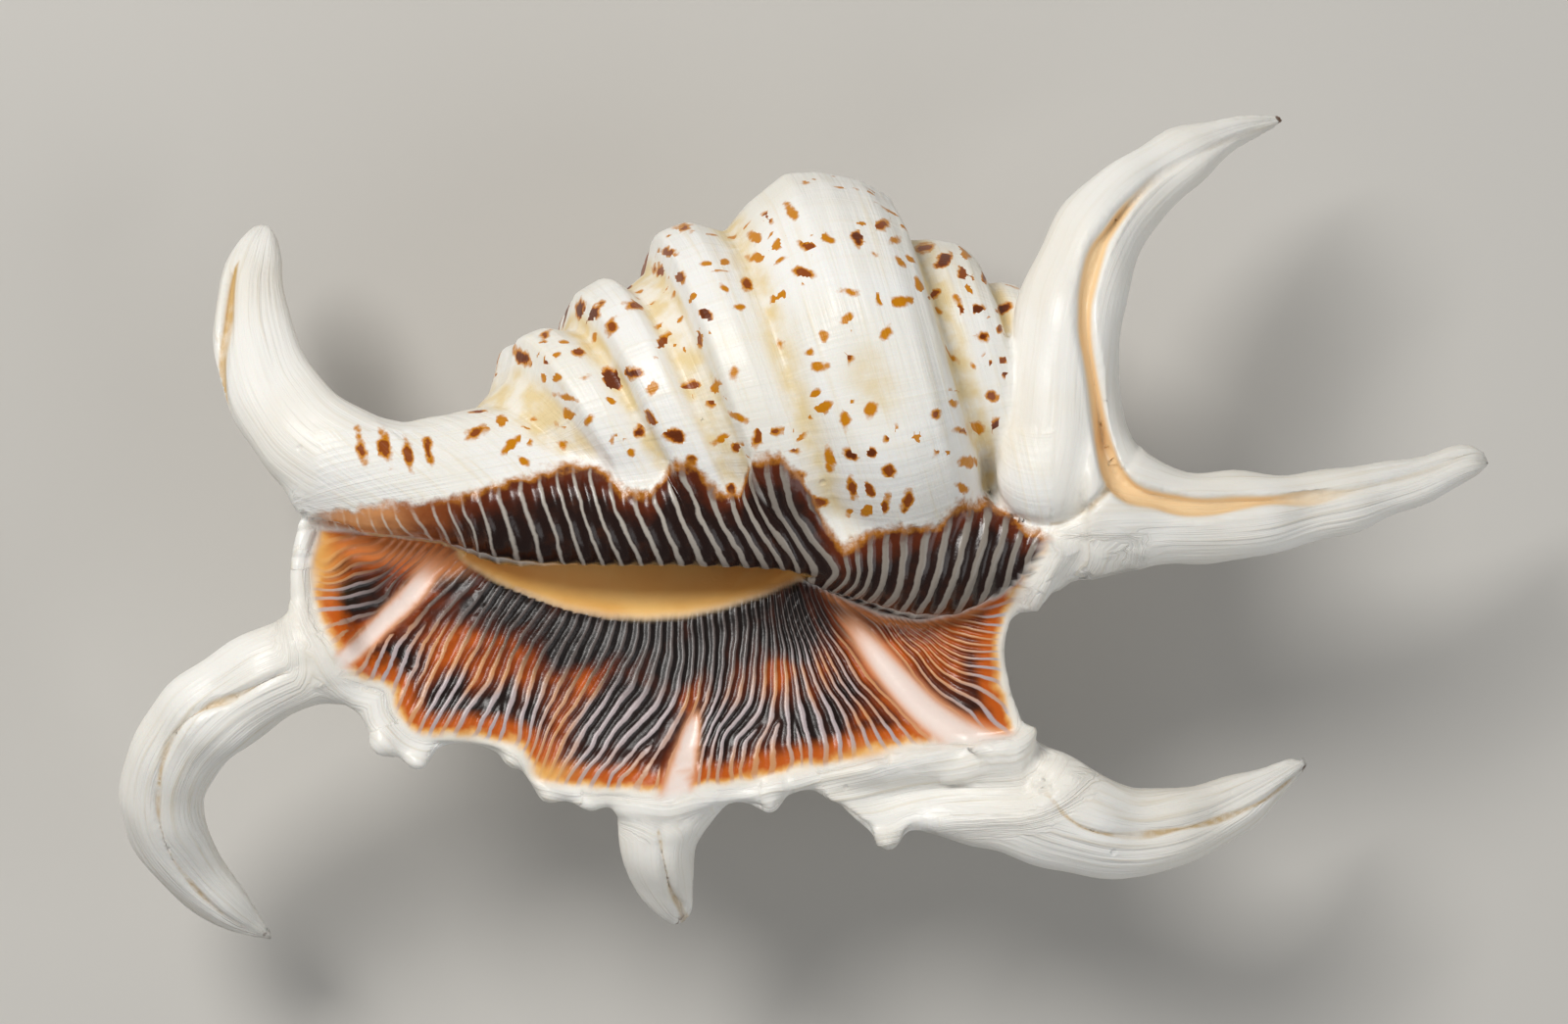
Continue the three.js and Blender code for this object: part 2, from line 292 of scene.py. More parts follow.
lip = {
    "inner": [(-62, 3), (-46, 1), (-28, -1), (-8, -2), (10, -1), (22, 9), (33, 14)],
    "margin": [
        (-65.6, 0), (-65.8, -8), (-64.5, -15), (-56.6, -25.4), (-54, -28.4), (-49.3, -30.2),
        (-46.2, -28.6), (-42.2, -28.3), (-37.2, -30.7), (-34.3, -34), (-27.8, -35.8), (-19, -36.3),
        (-10.3, -35.6), (-4.7, -36), (-1.3, -34.4), (2.2, -34.3), (5.3, -37), (10.3, -40.6), (14.7, -38),
        (20, -37), (28, -33), (28, -25.9), (26.2, -19.1), (26, -14.1), (28.2, -9), (33.5, -4), (36.5, 3),
    ],
    "knobs": [      # the little points of the margin: place, height, half width
        (-54.5, -28.2, 1.2, 1.8), (-49.6, -30.4, 1.5, 1.7), (-33, -34.8, 1, 1.6), (-27.6, -35.8, 1, 1.6),
        (-4.6, -36, 1, 1.8), (10.4, -40.6, 1.2, 2), (-38, -30.6, 0.7, 1.5), (2.6, -34.6, 0.7, 1.6),
    ],
    "knobLift": 0.8,
    "root": [      # depth of its back where it leaves the whorl, by X
        (-62, 3), (-50, 6), (-32, 15), (-18, 23), (-3, 26), (11, 26), (20, 14), (27, 9), (33, 5),
    ],
    "colourEdge": [      # where the ribs and colours end, inside the margin
        (-62.2, -0.6), (-63.2, -5.3), (-62.6, -10.3), (-60.9, -14), (-57.8, -19), (-53.6, -20.6),
        (-52.6, -23.6), (-49.7, -26.4), (-44, -27.2), (-40, -27.4), (-36.2, -29), (-34, -32.4),
        (-27.8, -33.4), (-21.6, -33.8), (-17.8, -34.3), (-14, -33.4), (-7.8, -32.8), (-2.8, -31.6),
        (3.4, -30.3), (9.7, -29), (17.2, -27.4), (22.2, -27), (26.4, -26.2), (26, -22.2), (25, -19),
        (25, -14), (26.4, -10.3), (28, -7.4), (31, -3),
    ],
    "edge": 3.2,
    "innerHeight": 39.5,
    "marginHeight": 44.0,
    "round": 2.6,
    "rootsHidden": 8.0,      # the low fingers sink into the lip's face this far in from the margin
    "channels": [      # smooth gutters that run out to the fingers: path, depth, half width at each end
        (
            [(-44.5, -2.6), (-48.3, -5.9), (-50.8, -9), (-54.2, -12.3), (-57.7, -15.9), (-62, -19)],
            1.0, 2.0, 1.3,
        ),
        ([(-13.6, -22.2), (-14.6, -26), (-16, -32), (-17.6, -38)], 0.9, 0.6, 2.9),
        ([(3.2, -8.6), (6.6, -13.4), (11.4, -19.4), (16.4, -24.4), (22.3, -28), (28, -29.4)], 1.2, 1.5, 3.4),
    ],
}
lipLow = (-76.0, -50.0)      # the sheet of plan that the lip's heights are laid out on
lipHigh = (46.0, 24.0)
lipStep = 0.4
channelSteps = 30


def spreadLip():
    sides = [np.arange(low, high, lipStep) for low, high in zip(lipLow, lipHigh)]
    x, y = np.meshgrid(*sides, indexing="ij")
    inner = curveThrough(lip["inner"], 80)
    margin = curveThrough(lip["margin"], 260)
    fromInner, share = distanceToLine(x, y, inner)
    fromMargin = distanceToLine(x, y, margin)[0]
    outline = np.vstack([inner, margin[::-1]])
    inside = insideOutline(x, y, outline)
    toEdge = np.minimum(fromInner, fromMargin)
    area = np.where(inside, -toEdge, toEdge)
    knobs = np.zeros(x.shape)
    for knobX, knobY, high, half in lip["knobs"]:
        shape = hump(np.hypot(x - knobX, y - knobY), half)
        area = area - high * shape
        knobs = knobs + shape
    out = fromInner / np.maximum(fromInner + fromMargin, 1e-6)
    out = np.where(inside | (fromInner < fromMargin), out, 1)
    face = lip["innerHeight"] + (lip["marginHeight"] - lip["innerHeight"]) * fade(out, 0.2, 0.9)
    for path, deep, first, last in lip["channels"]:
        away, along = distanceToLine(x, y, curveThrough(path, channelSteps))
        hollow = deep * hump(away, first + (last - first) * along)
        face = face - hollow * fade(along, 0, 0.15) * fade(along, 1, 0.8)
    depth = lineOf(lip["root"], inner[:, 0][(share * (len(inner) - 1)).astype(int)])
    under = face - lip["edge"] - depth * (1 - out) ** 1.5
    painted = curveThrough(lip["colourEdge"], 200)
    toPaint = distanceToLine(x, y, painted)[0]
    within = insideOutline(x, y, np.vstack([[(-62, 12), (31, 12)], painted[::-1]]))
    return {
        "area": area,
        "face": face + lip["knobLift"] * knobs,
        "under": under,
        "fromMargin": np.where(inside, fromMargin, -fromMargin),
        "colour": np.where(within, toPaint, -toPaint),
    }


lipSheet = spreadLip()


def readLip(name, p):
    return readTable(lipSheet[name], (p[:, 0] - lipLow[0]) / lipStep, (p[:, 1] - lipLow[1]) / lipStep)


def lipDistance(p):
    z = p[:, 2]
    slab = softMax(z - readLip("face", p), (readLip("under", p) - z) * 0.8, lip["round"])
    return softMax(slab, readLip("area", p), lip["round"])


# canal, fingers and columella: tapering tubes. Each row is x, y, z, width, root first.

fingers = {
    "siphonCanal": {
        "flat": 0.82, "blend": 4.0, "lines": 0.7,
        "rows": [
            (-36, 5, 41, 10), (-46, 5.8, 43, 11.2), (-54.1, 7, 44, 12.5), (-62.3, 10.4, 43, 13.1),
            (-67.9, 16.3, 39, 11.9), (-71, 23.7, 34, 10.5), (-71.8, 30.1, 29, 8.8),
            (-71.3, 35.3, 25, 6.5), (-70.3, 39.3, 22, 3.2),
        ],
    },
    "frontFinger": {
        "flat": 0.85, "blend": 3.0, "lines": 1.0,
        "rows": [
            (-38, -8, 34, 6), (-46, -11.5, 37, 8), (-53, -14.1, 40, 9.4), (-61.7, -16.6, 42, 11),
            (-70.2, -19.8, 42, 12), (-77.5, -25, 40, 12), (-82, -31.8, 36, 11.2), (-82.7, -38.3, 32, 10),
            (-79.6, -44.4, 28, 8.5), (-74.4, -50, 24, 5.8), (-69.1, -54, 21, 2.4),
        ],
    },
    "shortFinger": {
        "flat": 0.9, "blend": 3.0, "lines": 0.6,
        "rows": [
            (-9, -15, 33, 6), (-11.5, -22, 36, 8.5), (-15, -29.1, 39, 10), (-17.2, -34.8, 40, 11.9),
            (-18.8, -40.5, 39, 9.8), (-18.2, -45.6, 36.5, 7.5), (-15.8, -51, 33.5, 4),
        ],
    },
    "rearLowFinger": {
        "flat": 0.85, "blend": 3.0, "lines": 1.0,
        "rows": [
            (1, -15, 30, 6), (8.5, -28, 36, 11), (18.5, -33, 39.5, 13), (26.6, -34.6, 41, 14.2),
            (33.8, -37.2, 40.5, 13.8), (41.9, -39.2, 38, 11.4), (50.5, -37.9, 34, 9.2),
            (58.6, -34.1, 30, 6), (65, -30.2, 27, 2.4),
        ],
    },
    "rearFinger": {
        "flat": 0.85, "blend": 3.0, "lines": 0.8,
        "rows": [
            (19, -5, 40, 11), (28.4, -2.8, 43.5, 12), (36.5, 0.6, 45.5, 13), (45.2, 1, 45, 12),
            (56.1, 1.4, 42.5, 10.8), (66.3, 3, 39, 8.8), (76.7, 5.3, 35, 7), (84.5, 8, 32, 4.8),
            (88.2, 8.4, 30, 2.6),
        ],
    },
    "columella": {
        "flat": 0.95, "blend": 2.5,
        "rows": [
            (-63, 4.2, 43, 5), (-55.3, 4.4, 43.5, 8), (-46.6, 4, 43.5, 10), (-37.9, 2.5, 42.5, 12.5),
            (-27.9, 2, 42, 14), (-15.3, 2, 43, 14.2), (-2.8, 1, 43.5, 14), (8, -2, 43.5, 14),
            (17, -3.6, 43.5, 14.5), (25, -0.6, 44, 11), (31, 2, 45, 6),
        ],
    },
    "spireFinger": {
        "flat": 0.95, "blend": 1.2, "lines": 0.4,
        "rows": [
            (30.6, 0.8, 45, 8), (31, 5, 46.2, 14.2), (32.4, 12.1, 46, 14.6), (33, 20.8, 45.6, 14),
            (34.1, 28.3, 45, 13.2), (36.9, 35.9, 42.8, 12), (41.3, 42, 39.5, 10.2), (47.5, 47, 36, 7.8),
            (54.6, 50.7, 32.5, 5), (62.1, 52.8, 29, 2.8),
        ],
    },
}
horns = [name for name in fingers if name != "columella"]
fingerSamples = 96
slitSamples = 110
fingerReach = 11      # fingers are measured this far past the box of their middles
farAway = 30.0      # and everything past that counts as this far off

slits = {      # folds drawn in plan. Each row is x, y, height of the finger's middle, half width
    "spireToRear": {
        "deep": 1.7, "tint": 0.15, "peach": 1,
        "rows": [
            (62, 52.4, 29.4, -0.5), (60, 51.7, 30.2, 0.1), (52.8, 49, 33.3, 0.15),
            (45.9, 45.4, 36.9, 0.22), (41.1, 41.1, 39.8, 0.4), (38.1, 37.2, 42.2, 0.75),
            (36.9, 34.9, 43, 0.95), (35.9, 31.6, 44.2, 0.85), (35.2, 28.3, 45, 0.85),
            (35.2, 24.9, 45.3, 0.9), (35.9, 21.4, 45.6, 0.62), (36.6, 17.2, 45.8, 0.55),
            (37.2, 13.2, 46, 0.6), (37.9, 9.8, 46, 0.75), (39, 6.6, 45.8, 1.0), (41.2, 4.3, 45.4, 1.2),
            (44.7, 3.4, 45, 1.0), (48.5, 2.5, 44.2, 1.1), (51.6, 2.4, 43.5, 1.05), (55, 2.9, 42.8, 0.75),
            (60, 3.3, 41.2, 0.45), (66, 3.9, 39.1, 0.33), (72, 5, 36.8, 0.22), (79.6, 7.1, 33.9, 0.15),
            (84.6, 9, 31.9, 0.1), (86.6, 9.4, 31, -0.5),
        ],
    },
    "frontFinger": {
        "deep": 2.4, "tint": 0.7, "peach": 0,
        "rows": [
            (-63, -17.4, 41.6, -0.5), (-67.5, -19, 42, 0.05), (-72.6, -21.6, 42, 0.2),
            (-76.2, -23, 41, 0.25), (-79.2, -25.1, 39.5, 0.2), (-81.6, -28.3, 38, 0.15),
            (-82.8, -32.5, 36, 0.1), (-83.1, -37.2, 33, 0.1), (-81.9, -42, 30, 0.08),
            (-79.4, -46.1, 27.5, 0.08), (-76, -49.8, 25, 0.05), (-72.1, -52.8, 22.5, -0.2),
        ],
    },
    "siphonCanal": {
        "deep": 1.3, "tint": 0.95, "peach": 0.3,
        "rows": [
            (-69, 5.6, 43.5, -0.5), (-71, 8.5, 43, 0.1), (-72.9, 12.1, 41.5, 0.3),
            (-74.6, 15.9, 39, 0.45), (-74.8, 21.8, 35.5, 0.42), (-74.3, 26.9, 31.5, 0.42),
            (-73.8, 32.2, 28, 0.35), (-73, 35, 26, -0.3),
        ],
    },
    "shortFinger": {
        "deep": 2.6, "tint": 0.6, "peach": 0,
        "rows": [
            (-19.3, -37.8, 39.5, -0.6), (-18.8, -39.2, 39.2, 0.05), (-18.2, -42.8, 38, 0.15),
            (-17.4, -46.5, 36, 0.25), (-16, -49.4, 34.5, 0.45), (-14.8, -52.4, 33, 0.85),
        ],
    },
    "spireFoot": {
        "deep": 2.4, "tint": 0.5, "peach": 0,
        "rows": [
            (22.8, 8, 42, -0.5), (23, 4.6, 42, 0.05), (25.2, 1.8, 42, 0.1), (27.8, 0.7, 42, 0.1),
            (30.4, 0.4, 42, 0.1), (32.6, 0.6, 42, 0.1), (34.6, 1.6, 42, 0.1), (36.4, 2.9, 42, 0.1),
            (38.4, 4.9, 42, 0.2),
        ],
    },
    "rearLowFinger": {
        "deep": 1.5, "tint": 0.75, "peach": 0,
        "rows": [
            (29.2, -29.8, 41, -0.5), (31.1, -34.2, 41, 0), (33.7, -37.3, 40.6, 0.12),
            (37, -38.9, 39.6, 0.18), (42.2, -39.5, 38, 0.2), (47.5, -38.8, 35.6, 0.18),
            (53, -37.7, 32.8, 0.15), (58.6, -35.5, 30, 0.12), (62.6, -32.8, 28.2, 0.05),
            (64.2, -31.4, 27.4, -0.5),
        ],
    },
}


def trackFinger(shape):
    rows = curveThrough(shape["rows"], fingerSamples)
    line = rows[:, :3]
    forward = np.gradient(line, axis=0)
    spacing = np.linalg.norm(forward, axis=1)
    forward = forward / spacing[:, None]
    across = np.cross(forward, (0, 0, 1))
    across = across / np.linalg.norm(across, axis=1)[:, None]
    above = np.cross(across, forward)
    share = np.linspace(0, 1, fingerSamples)
    half = rows[:, 3] / 2 * (np.sqrt(1 - share ** 22) + 0.02)
    shape["track"] = np.hstack([line, forward, across, above, half[:, None]])
    shape["spacing"] = spacing
    shape["length"] = spacing.sum()


def fingerPlace(shape, p):
    # across and above the tube's middle and past its end, over its half width, and the share of its length
    track = shape["track"]
    best = np.full(len(p), 1e9, np.float32)
    which = np.zeros(len(p), int)
    for i in range(len(track)):
        away = p - track[i, :3].astype(np.float32)
        away = (away * away).sum(axis=1)
        closer = away < best
        best[closer] = away[closer]
        which[closer] = i
    step = ((p - track[which, :3]) * track[which, 3:6]).sum(axis=1) / shape["spacing"][which]
    t = np.clip(which + np.clip(step, -0.6, 0.6), 0, len(track) - 1.001)
    i = t.astype(int)
    f = (t - i)[:, None]
    here = track[i] * (1 - f) + track[i + 1] * f
    away = p - here[:, :3]
    half = here[:, 12]
    beyond = (away * here[:, 3:6]).sum(axis=1) / half
    across = (away * here[:, 6:9]).sum(axis=1) / half
    above = (away * here[:, 9:12]).sum(axis=1) / half
    return across, above, beyond, half, t / (len(track) - 1)


def fingerDistance(shape, p):
    low = shape["track"][:, :3].min(axis=0) - fingerReach
    high = shape["track"][:, :3].max(axis=0) + fingerReach
    near = ((p > low) & (p < high)).all(axis=1)
    distance = np.full(len(p), farAway, np.float32)
    if not near.any():
        return distance
    across, above, beyond, half, t = fingerPlace(shape, p[near])
    flat = shape["flat"]
    reach = np.sqrt(across ** 2 + (above / flat) ** 2 + beyond ** 2)
    slope = np.sqrt(across ** 2 + (above / flat ** 2) ** 2 + beyond ** 2) / np.maximum(reach, 1e-3)
    distance[near] = (reach - 1) * half / np.maximum(slope, 0.6)
    return distance


def nearestHorn(p):
    return np.min([fingerDistance(fingers[name], p) for name in horns], axis=0)


def slitPlace(slit, p):
    # distance outside the slit's edge in plan, height over the finger's middle, and the slit's half width
    track = slit["track"]
    away, share = distanceToLine(p[:, 0], p[:, 1], track)
    at = share * (len(track) - 1)
    steps = np.arange(len(track))
    half = np.interp(at, steps, track[:, 3])
    return away - half, p[:, 2] - np.interp(at, steps, track[:, 2]), half


def besideSlit(slit, p, near, reach):
    low = slit["track"][:, :2].min(axis=0) - reach
    high = slit["track"][:, :2].max(axis=0) + reach
    plan = p[:, :2]
    return np.nonzero(near & (plan > low).all(axis=1) & (plan < high).all(axis=1))[0]


def carveSlits(p, body):
    # narrow slits are shallow ones
    body = body.copy()
    for slit in slits.values():
        near = besideSlit(slit, p, np.abs(body) < 4.5, 4)
        fromEdge, above, half = slitPlace(slit, p[near])
        deep = slit["deep"] * (0.35 + 0.65 * fade(half, 0.1, 0.6))
        cut = deep * (1 - fade(fromEdge, -0.3, 0.55)) + 0.3 * hump(fromEdge + 0.5, 2.4)
        body[near] += cut * fade(above, -0.5, 1.5)
    return body


for shape in fingers.values():
    trackFinger(shape)
for slit in slits.values():
    slit["track"] = curveThrough(slit["rows"], slitSamples)


# the whole shell

def shellParts(p):
    along, radius, turn = whorlPlace(p)
    parts = {name: fingerDistance(shape, p) for name, shape in fingers.items()}
    parts["whorl"] = whorlDistance(along, radius, turn)
    parts["lip"] = lipDistance(p)
    parts["mouth"] = mouthDistance(p)
    parts["chamber"] = softMax(chamberDistance(along, radius, turn), p[:, 2] - chamber["top"], 2)
    return parts


blends = {      # how softly the parts run into each other, and what is filled or held back there
    "lipToWhorl": 3,
    "fromLip": ("frontFinger", "shortFinger", "rearLowFinger"),
    "fromWhorl": ("siphonCanal", "rearFinger", "columella", "spireFinger"),
    "plug": (23.4, 6.6, 39.6),      # fills the pit beside the spire finger's foot
    "plugRadius": 4,
    "web": 11,      # between the spire finger and the rear finger
    "webFrom": 35,
    "faceSpare": 9,      # how far the low fingers may stand over the lip's face at the margin
    "callusSpare": 20,
    "face": 1.0,
    "mouth": 1.4,
    "chamber": 1.5,
}


def joinParts(p, parts):
    x, y, z = p.T
    flare = parts["lip"]
    for name in blends["fromLip"]:
        flare = softMin(flare, parts[name], fingers[name]["blend"])
    body = softMin(parts["whorl"], flare, blends["lipToWhorl"])
    for name in blends["fromWhorl"]:
        body = softMin(body, parts[name], fingers[name]["blend"])
    plug = np.sqrt(((p - np.array(blends["plug"])) ** 2).sum(axis=1)) - blends["plugRadius"]
    body = softMin(body, plug, 2)
    web = softMin(parts["spireFinger"], parts["rearFinger"], blends["web"])
    body = np.minimum(body, softMax(web, blends["webFrom"] - x, 2))
    body = carveSlits(p, body)
    # nothing stands above the lip's face between the callus and the margin
    spare = blends["faceSpare"] * (1 - fade(readLip("fromMargin", p), 0.5, lip["rootsHidden"]))
    beyond = y - lineOf(ribs["callusFoot"], x)
    ends = np.maximum(fade(-x, 60, 63), fade(x, 25, 29))
    spare = np.maximum(spare, blends["callusSpare"] * np.maximum(fade(beyond, -0.7, 0.7), ends))
    body = softMax(body, z - readLip("face", p) - spare, blends["face"])
    for name in ("mouth", "chamber"):
        body = softMax(body, -parts[name], blends[name])
    return np.maximum(body, -z)


def shellDistance(p):
    pieces = np.array_split(p.astype(np.float32), max(1, len(p) // shellMesh["piece"]))
    return np.concatenate([joinParts(piece, shellParts(piece)) for piece in pieces])


def shellSlope(p, reach=0.25):
    # distance and its gradient, from four places round each point
    corners = np.array([(1, 1, 1), (1, -1, -1), (-1, 1, -1), (-1, -1, 1)], float) * reach
    values = [shellDistance(p + corner) for corner in corners]
    slope = sum(value[:, None] * corner for value, corner in zip(values, corners)) / (4 * reach * reach)
    return sum(values) / 4, slope


def wrapSurface(distance, low, cell):
    # one vertex in each cell the surface passes through, and a square across each crossed edge
    inside = distance < 0
    shape = tuple(n - 1 for n in distance.shape)
    corners = [(i, j, k) for i in (0, 1) for j in (0, 1) for k in (0, 1)]

    def corner(grid, i, j, k):
        return grid[i:i + shape[0], j:j + shape[1], k:k + shape[2]]

    filled = sum(corner(inside, *c).astype(np.int8) for c in corners)
    crossed = (filled > 0) & (filled < 8)
    cells = np.argwhere(crossed)
    number = np.full(shape, -1)
    number[crossed] = np.arange(len(cells))
    at = {c: corner(distance, *c)[crossed] for c in corners}
    total = np.zeros((len(cells), 3))
    count = np.zeros(len(cells))
    for a in corners:
        for axis in range(3):
            if a[axis]:
                continue
            b = tuple(v + (n == axis) for n, v in enumerate(a))
            cut = (at[a] < 0) != (at[b] < 0)
            t = at[a][cut] / (at[a][cut] - at[b][cut])
            place = np.tile(np.array(a, float), (len(t), 1))
            place[:, axis] = t
            total[cut] += place
            count[cut] += 1
    vertices = (cells + total / count[:, None]) * cell + low
    squares = []
    for axis in range(3):
        one, two = [n for n in range(3) if n != axis]
        a = np.moveaxis(inside, (axis, one, two), (0, 1, 2))
        ids = np.moveaxis(number, (axis, one, two), (0, 1, 2))
        edge = a[:-1] != a[1:]
        edge[:, 0, :] = False
        edge[:, -1, :] = False
        edge[:, :, 0] = False
        edge[:, :, -1] = False
        i, j, k = np.nonzero(edge)
        square = np.stack([ids[i, j - 1, k - 1], ids[i, j, k - 1], ids[i, j, k], ids[i, j - 1, k]], axis=1)
        turned = a[:-1][i, j, k] == (axis == 1)
        square[turned] = square[turned][:, ::-1]
        squares.append(square)
    return vertices, np.vstack(squares)


def settle(vertices, steps, limit):
    for _ in range(steps):
        distance, slope = shellSlope(vertices)
        steep = np.maximum((slope * slope).sum(axis=1), 0.15)
        move = slope * (-distance / steep)[:, None]
        length = np.linalg.norm(move, axis=1)
        move *= np.minimum(1, limit / np.maximum(length, 1e-9))[:, None]
        vertices = vertices + move
    return vertices


def evenOut(vertices, faces, strength):
    # slides each vertex towards the middle of its neighbours
    total = np.zeros_like(vertices)
    count = np.zeros(len(vertices))
    for a, b in ((0, 1), (1, 2), (2, 3), (3, 0)):
        for one, other in ((a, b), (b, a)):
            for axis in range(3):
                total[:, axis] += np.bincount(faces[:, one], vertices[faces[:, other], axis], len(vertices))
            count += np.bincount(faces[:, one], minlength=len(vertices))
    return vertices + strength * (total / np.maximum(count, 1)[:, None] - vertices)


def refine(vertices, faces, chosen):
    # cuts the chosen squares in four; their neighbours take the new points into their edges
    pairs = [np.sort(faces[chosen][:, [a, (a + 1) % 4]], axis=1) for a in range(4)]
    edges, back = np.unique(np.vstack(pairs), axis=0, return_inverse=True)
    back = back.reshape(4, -1).T
    middles = vertices[edges].mean(axis=1)
    centres = vertices[faces[chosen]].mean(axis=1)
    first = len(vertices)
    mid = back + first
    centre = np.arange(len(centres)) + first + len(edges)
    old = faces[chosen]
    small = [np.stack([old[:, a], mid[:, a], centre, mid[:, a - 1]], axis=1) for a in range(4)]
    keys = edges[:, 0] * first + edges[:, 1]
    kept = faces[~chosen]
    ids = []
    for a in range(4):
        ends = np.sort(kept[:, [a, (a + 1) % 4]], axis=1)
        key = ends[:, 0] * first + ends[:, 1]
        at = np.clip(np.searchsorted(keys, key), 0, len(keys) - 1)
        ids.append(np.where(keys[at] == key, at + first, -1))
    ids = np.stack(ids, axis=1)
    touched = (ids >= 0).any(axis=1)
    mixed = []
    for face, extra in zip(kept[touched].tolist(), ids[touched].tolist()):
        ring = []
        for vertex, between in zip(face, extra):
            ring.append(vertex)
            if between >= 0:
                ring.append(between)
        mixed.append(ring)
    plain = np.vstack([kept[~touched]] + small)
    return np.vstack([vertices, middles, centres]), plain, mixed


def growShell():
    low = np.array(shellMesh["low"])
    cell = shellMesh["cell"]
    counts = np.ceil((np.array(shellMesh["high"]) - low) / cell).astype(int) + 1
    axes = [low[n] + cell * np.arange(counts[n]) for n in range(3)]
    grid = np.stack(np.meshgrid(*axes, indexing="ij"), axis=-1).reshape(-1, 3)
    distance = shellDistance(grid).reshape(counts)
    vertices, faces = wrapSurface(distance, low, cell)
    vertices = evenOut(vertices, faces, 0.5)
    vertices = settle(vertices, shellMesh["settlings"], 0.6 * cell)
    return vertices, faces


# where the finishes lie

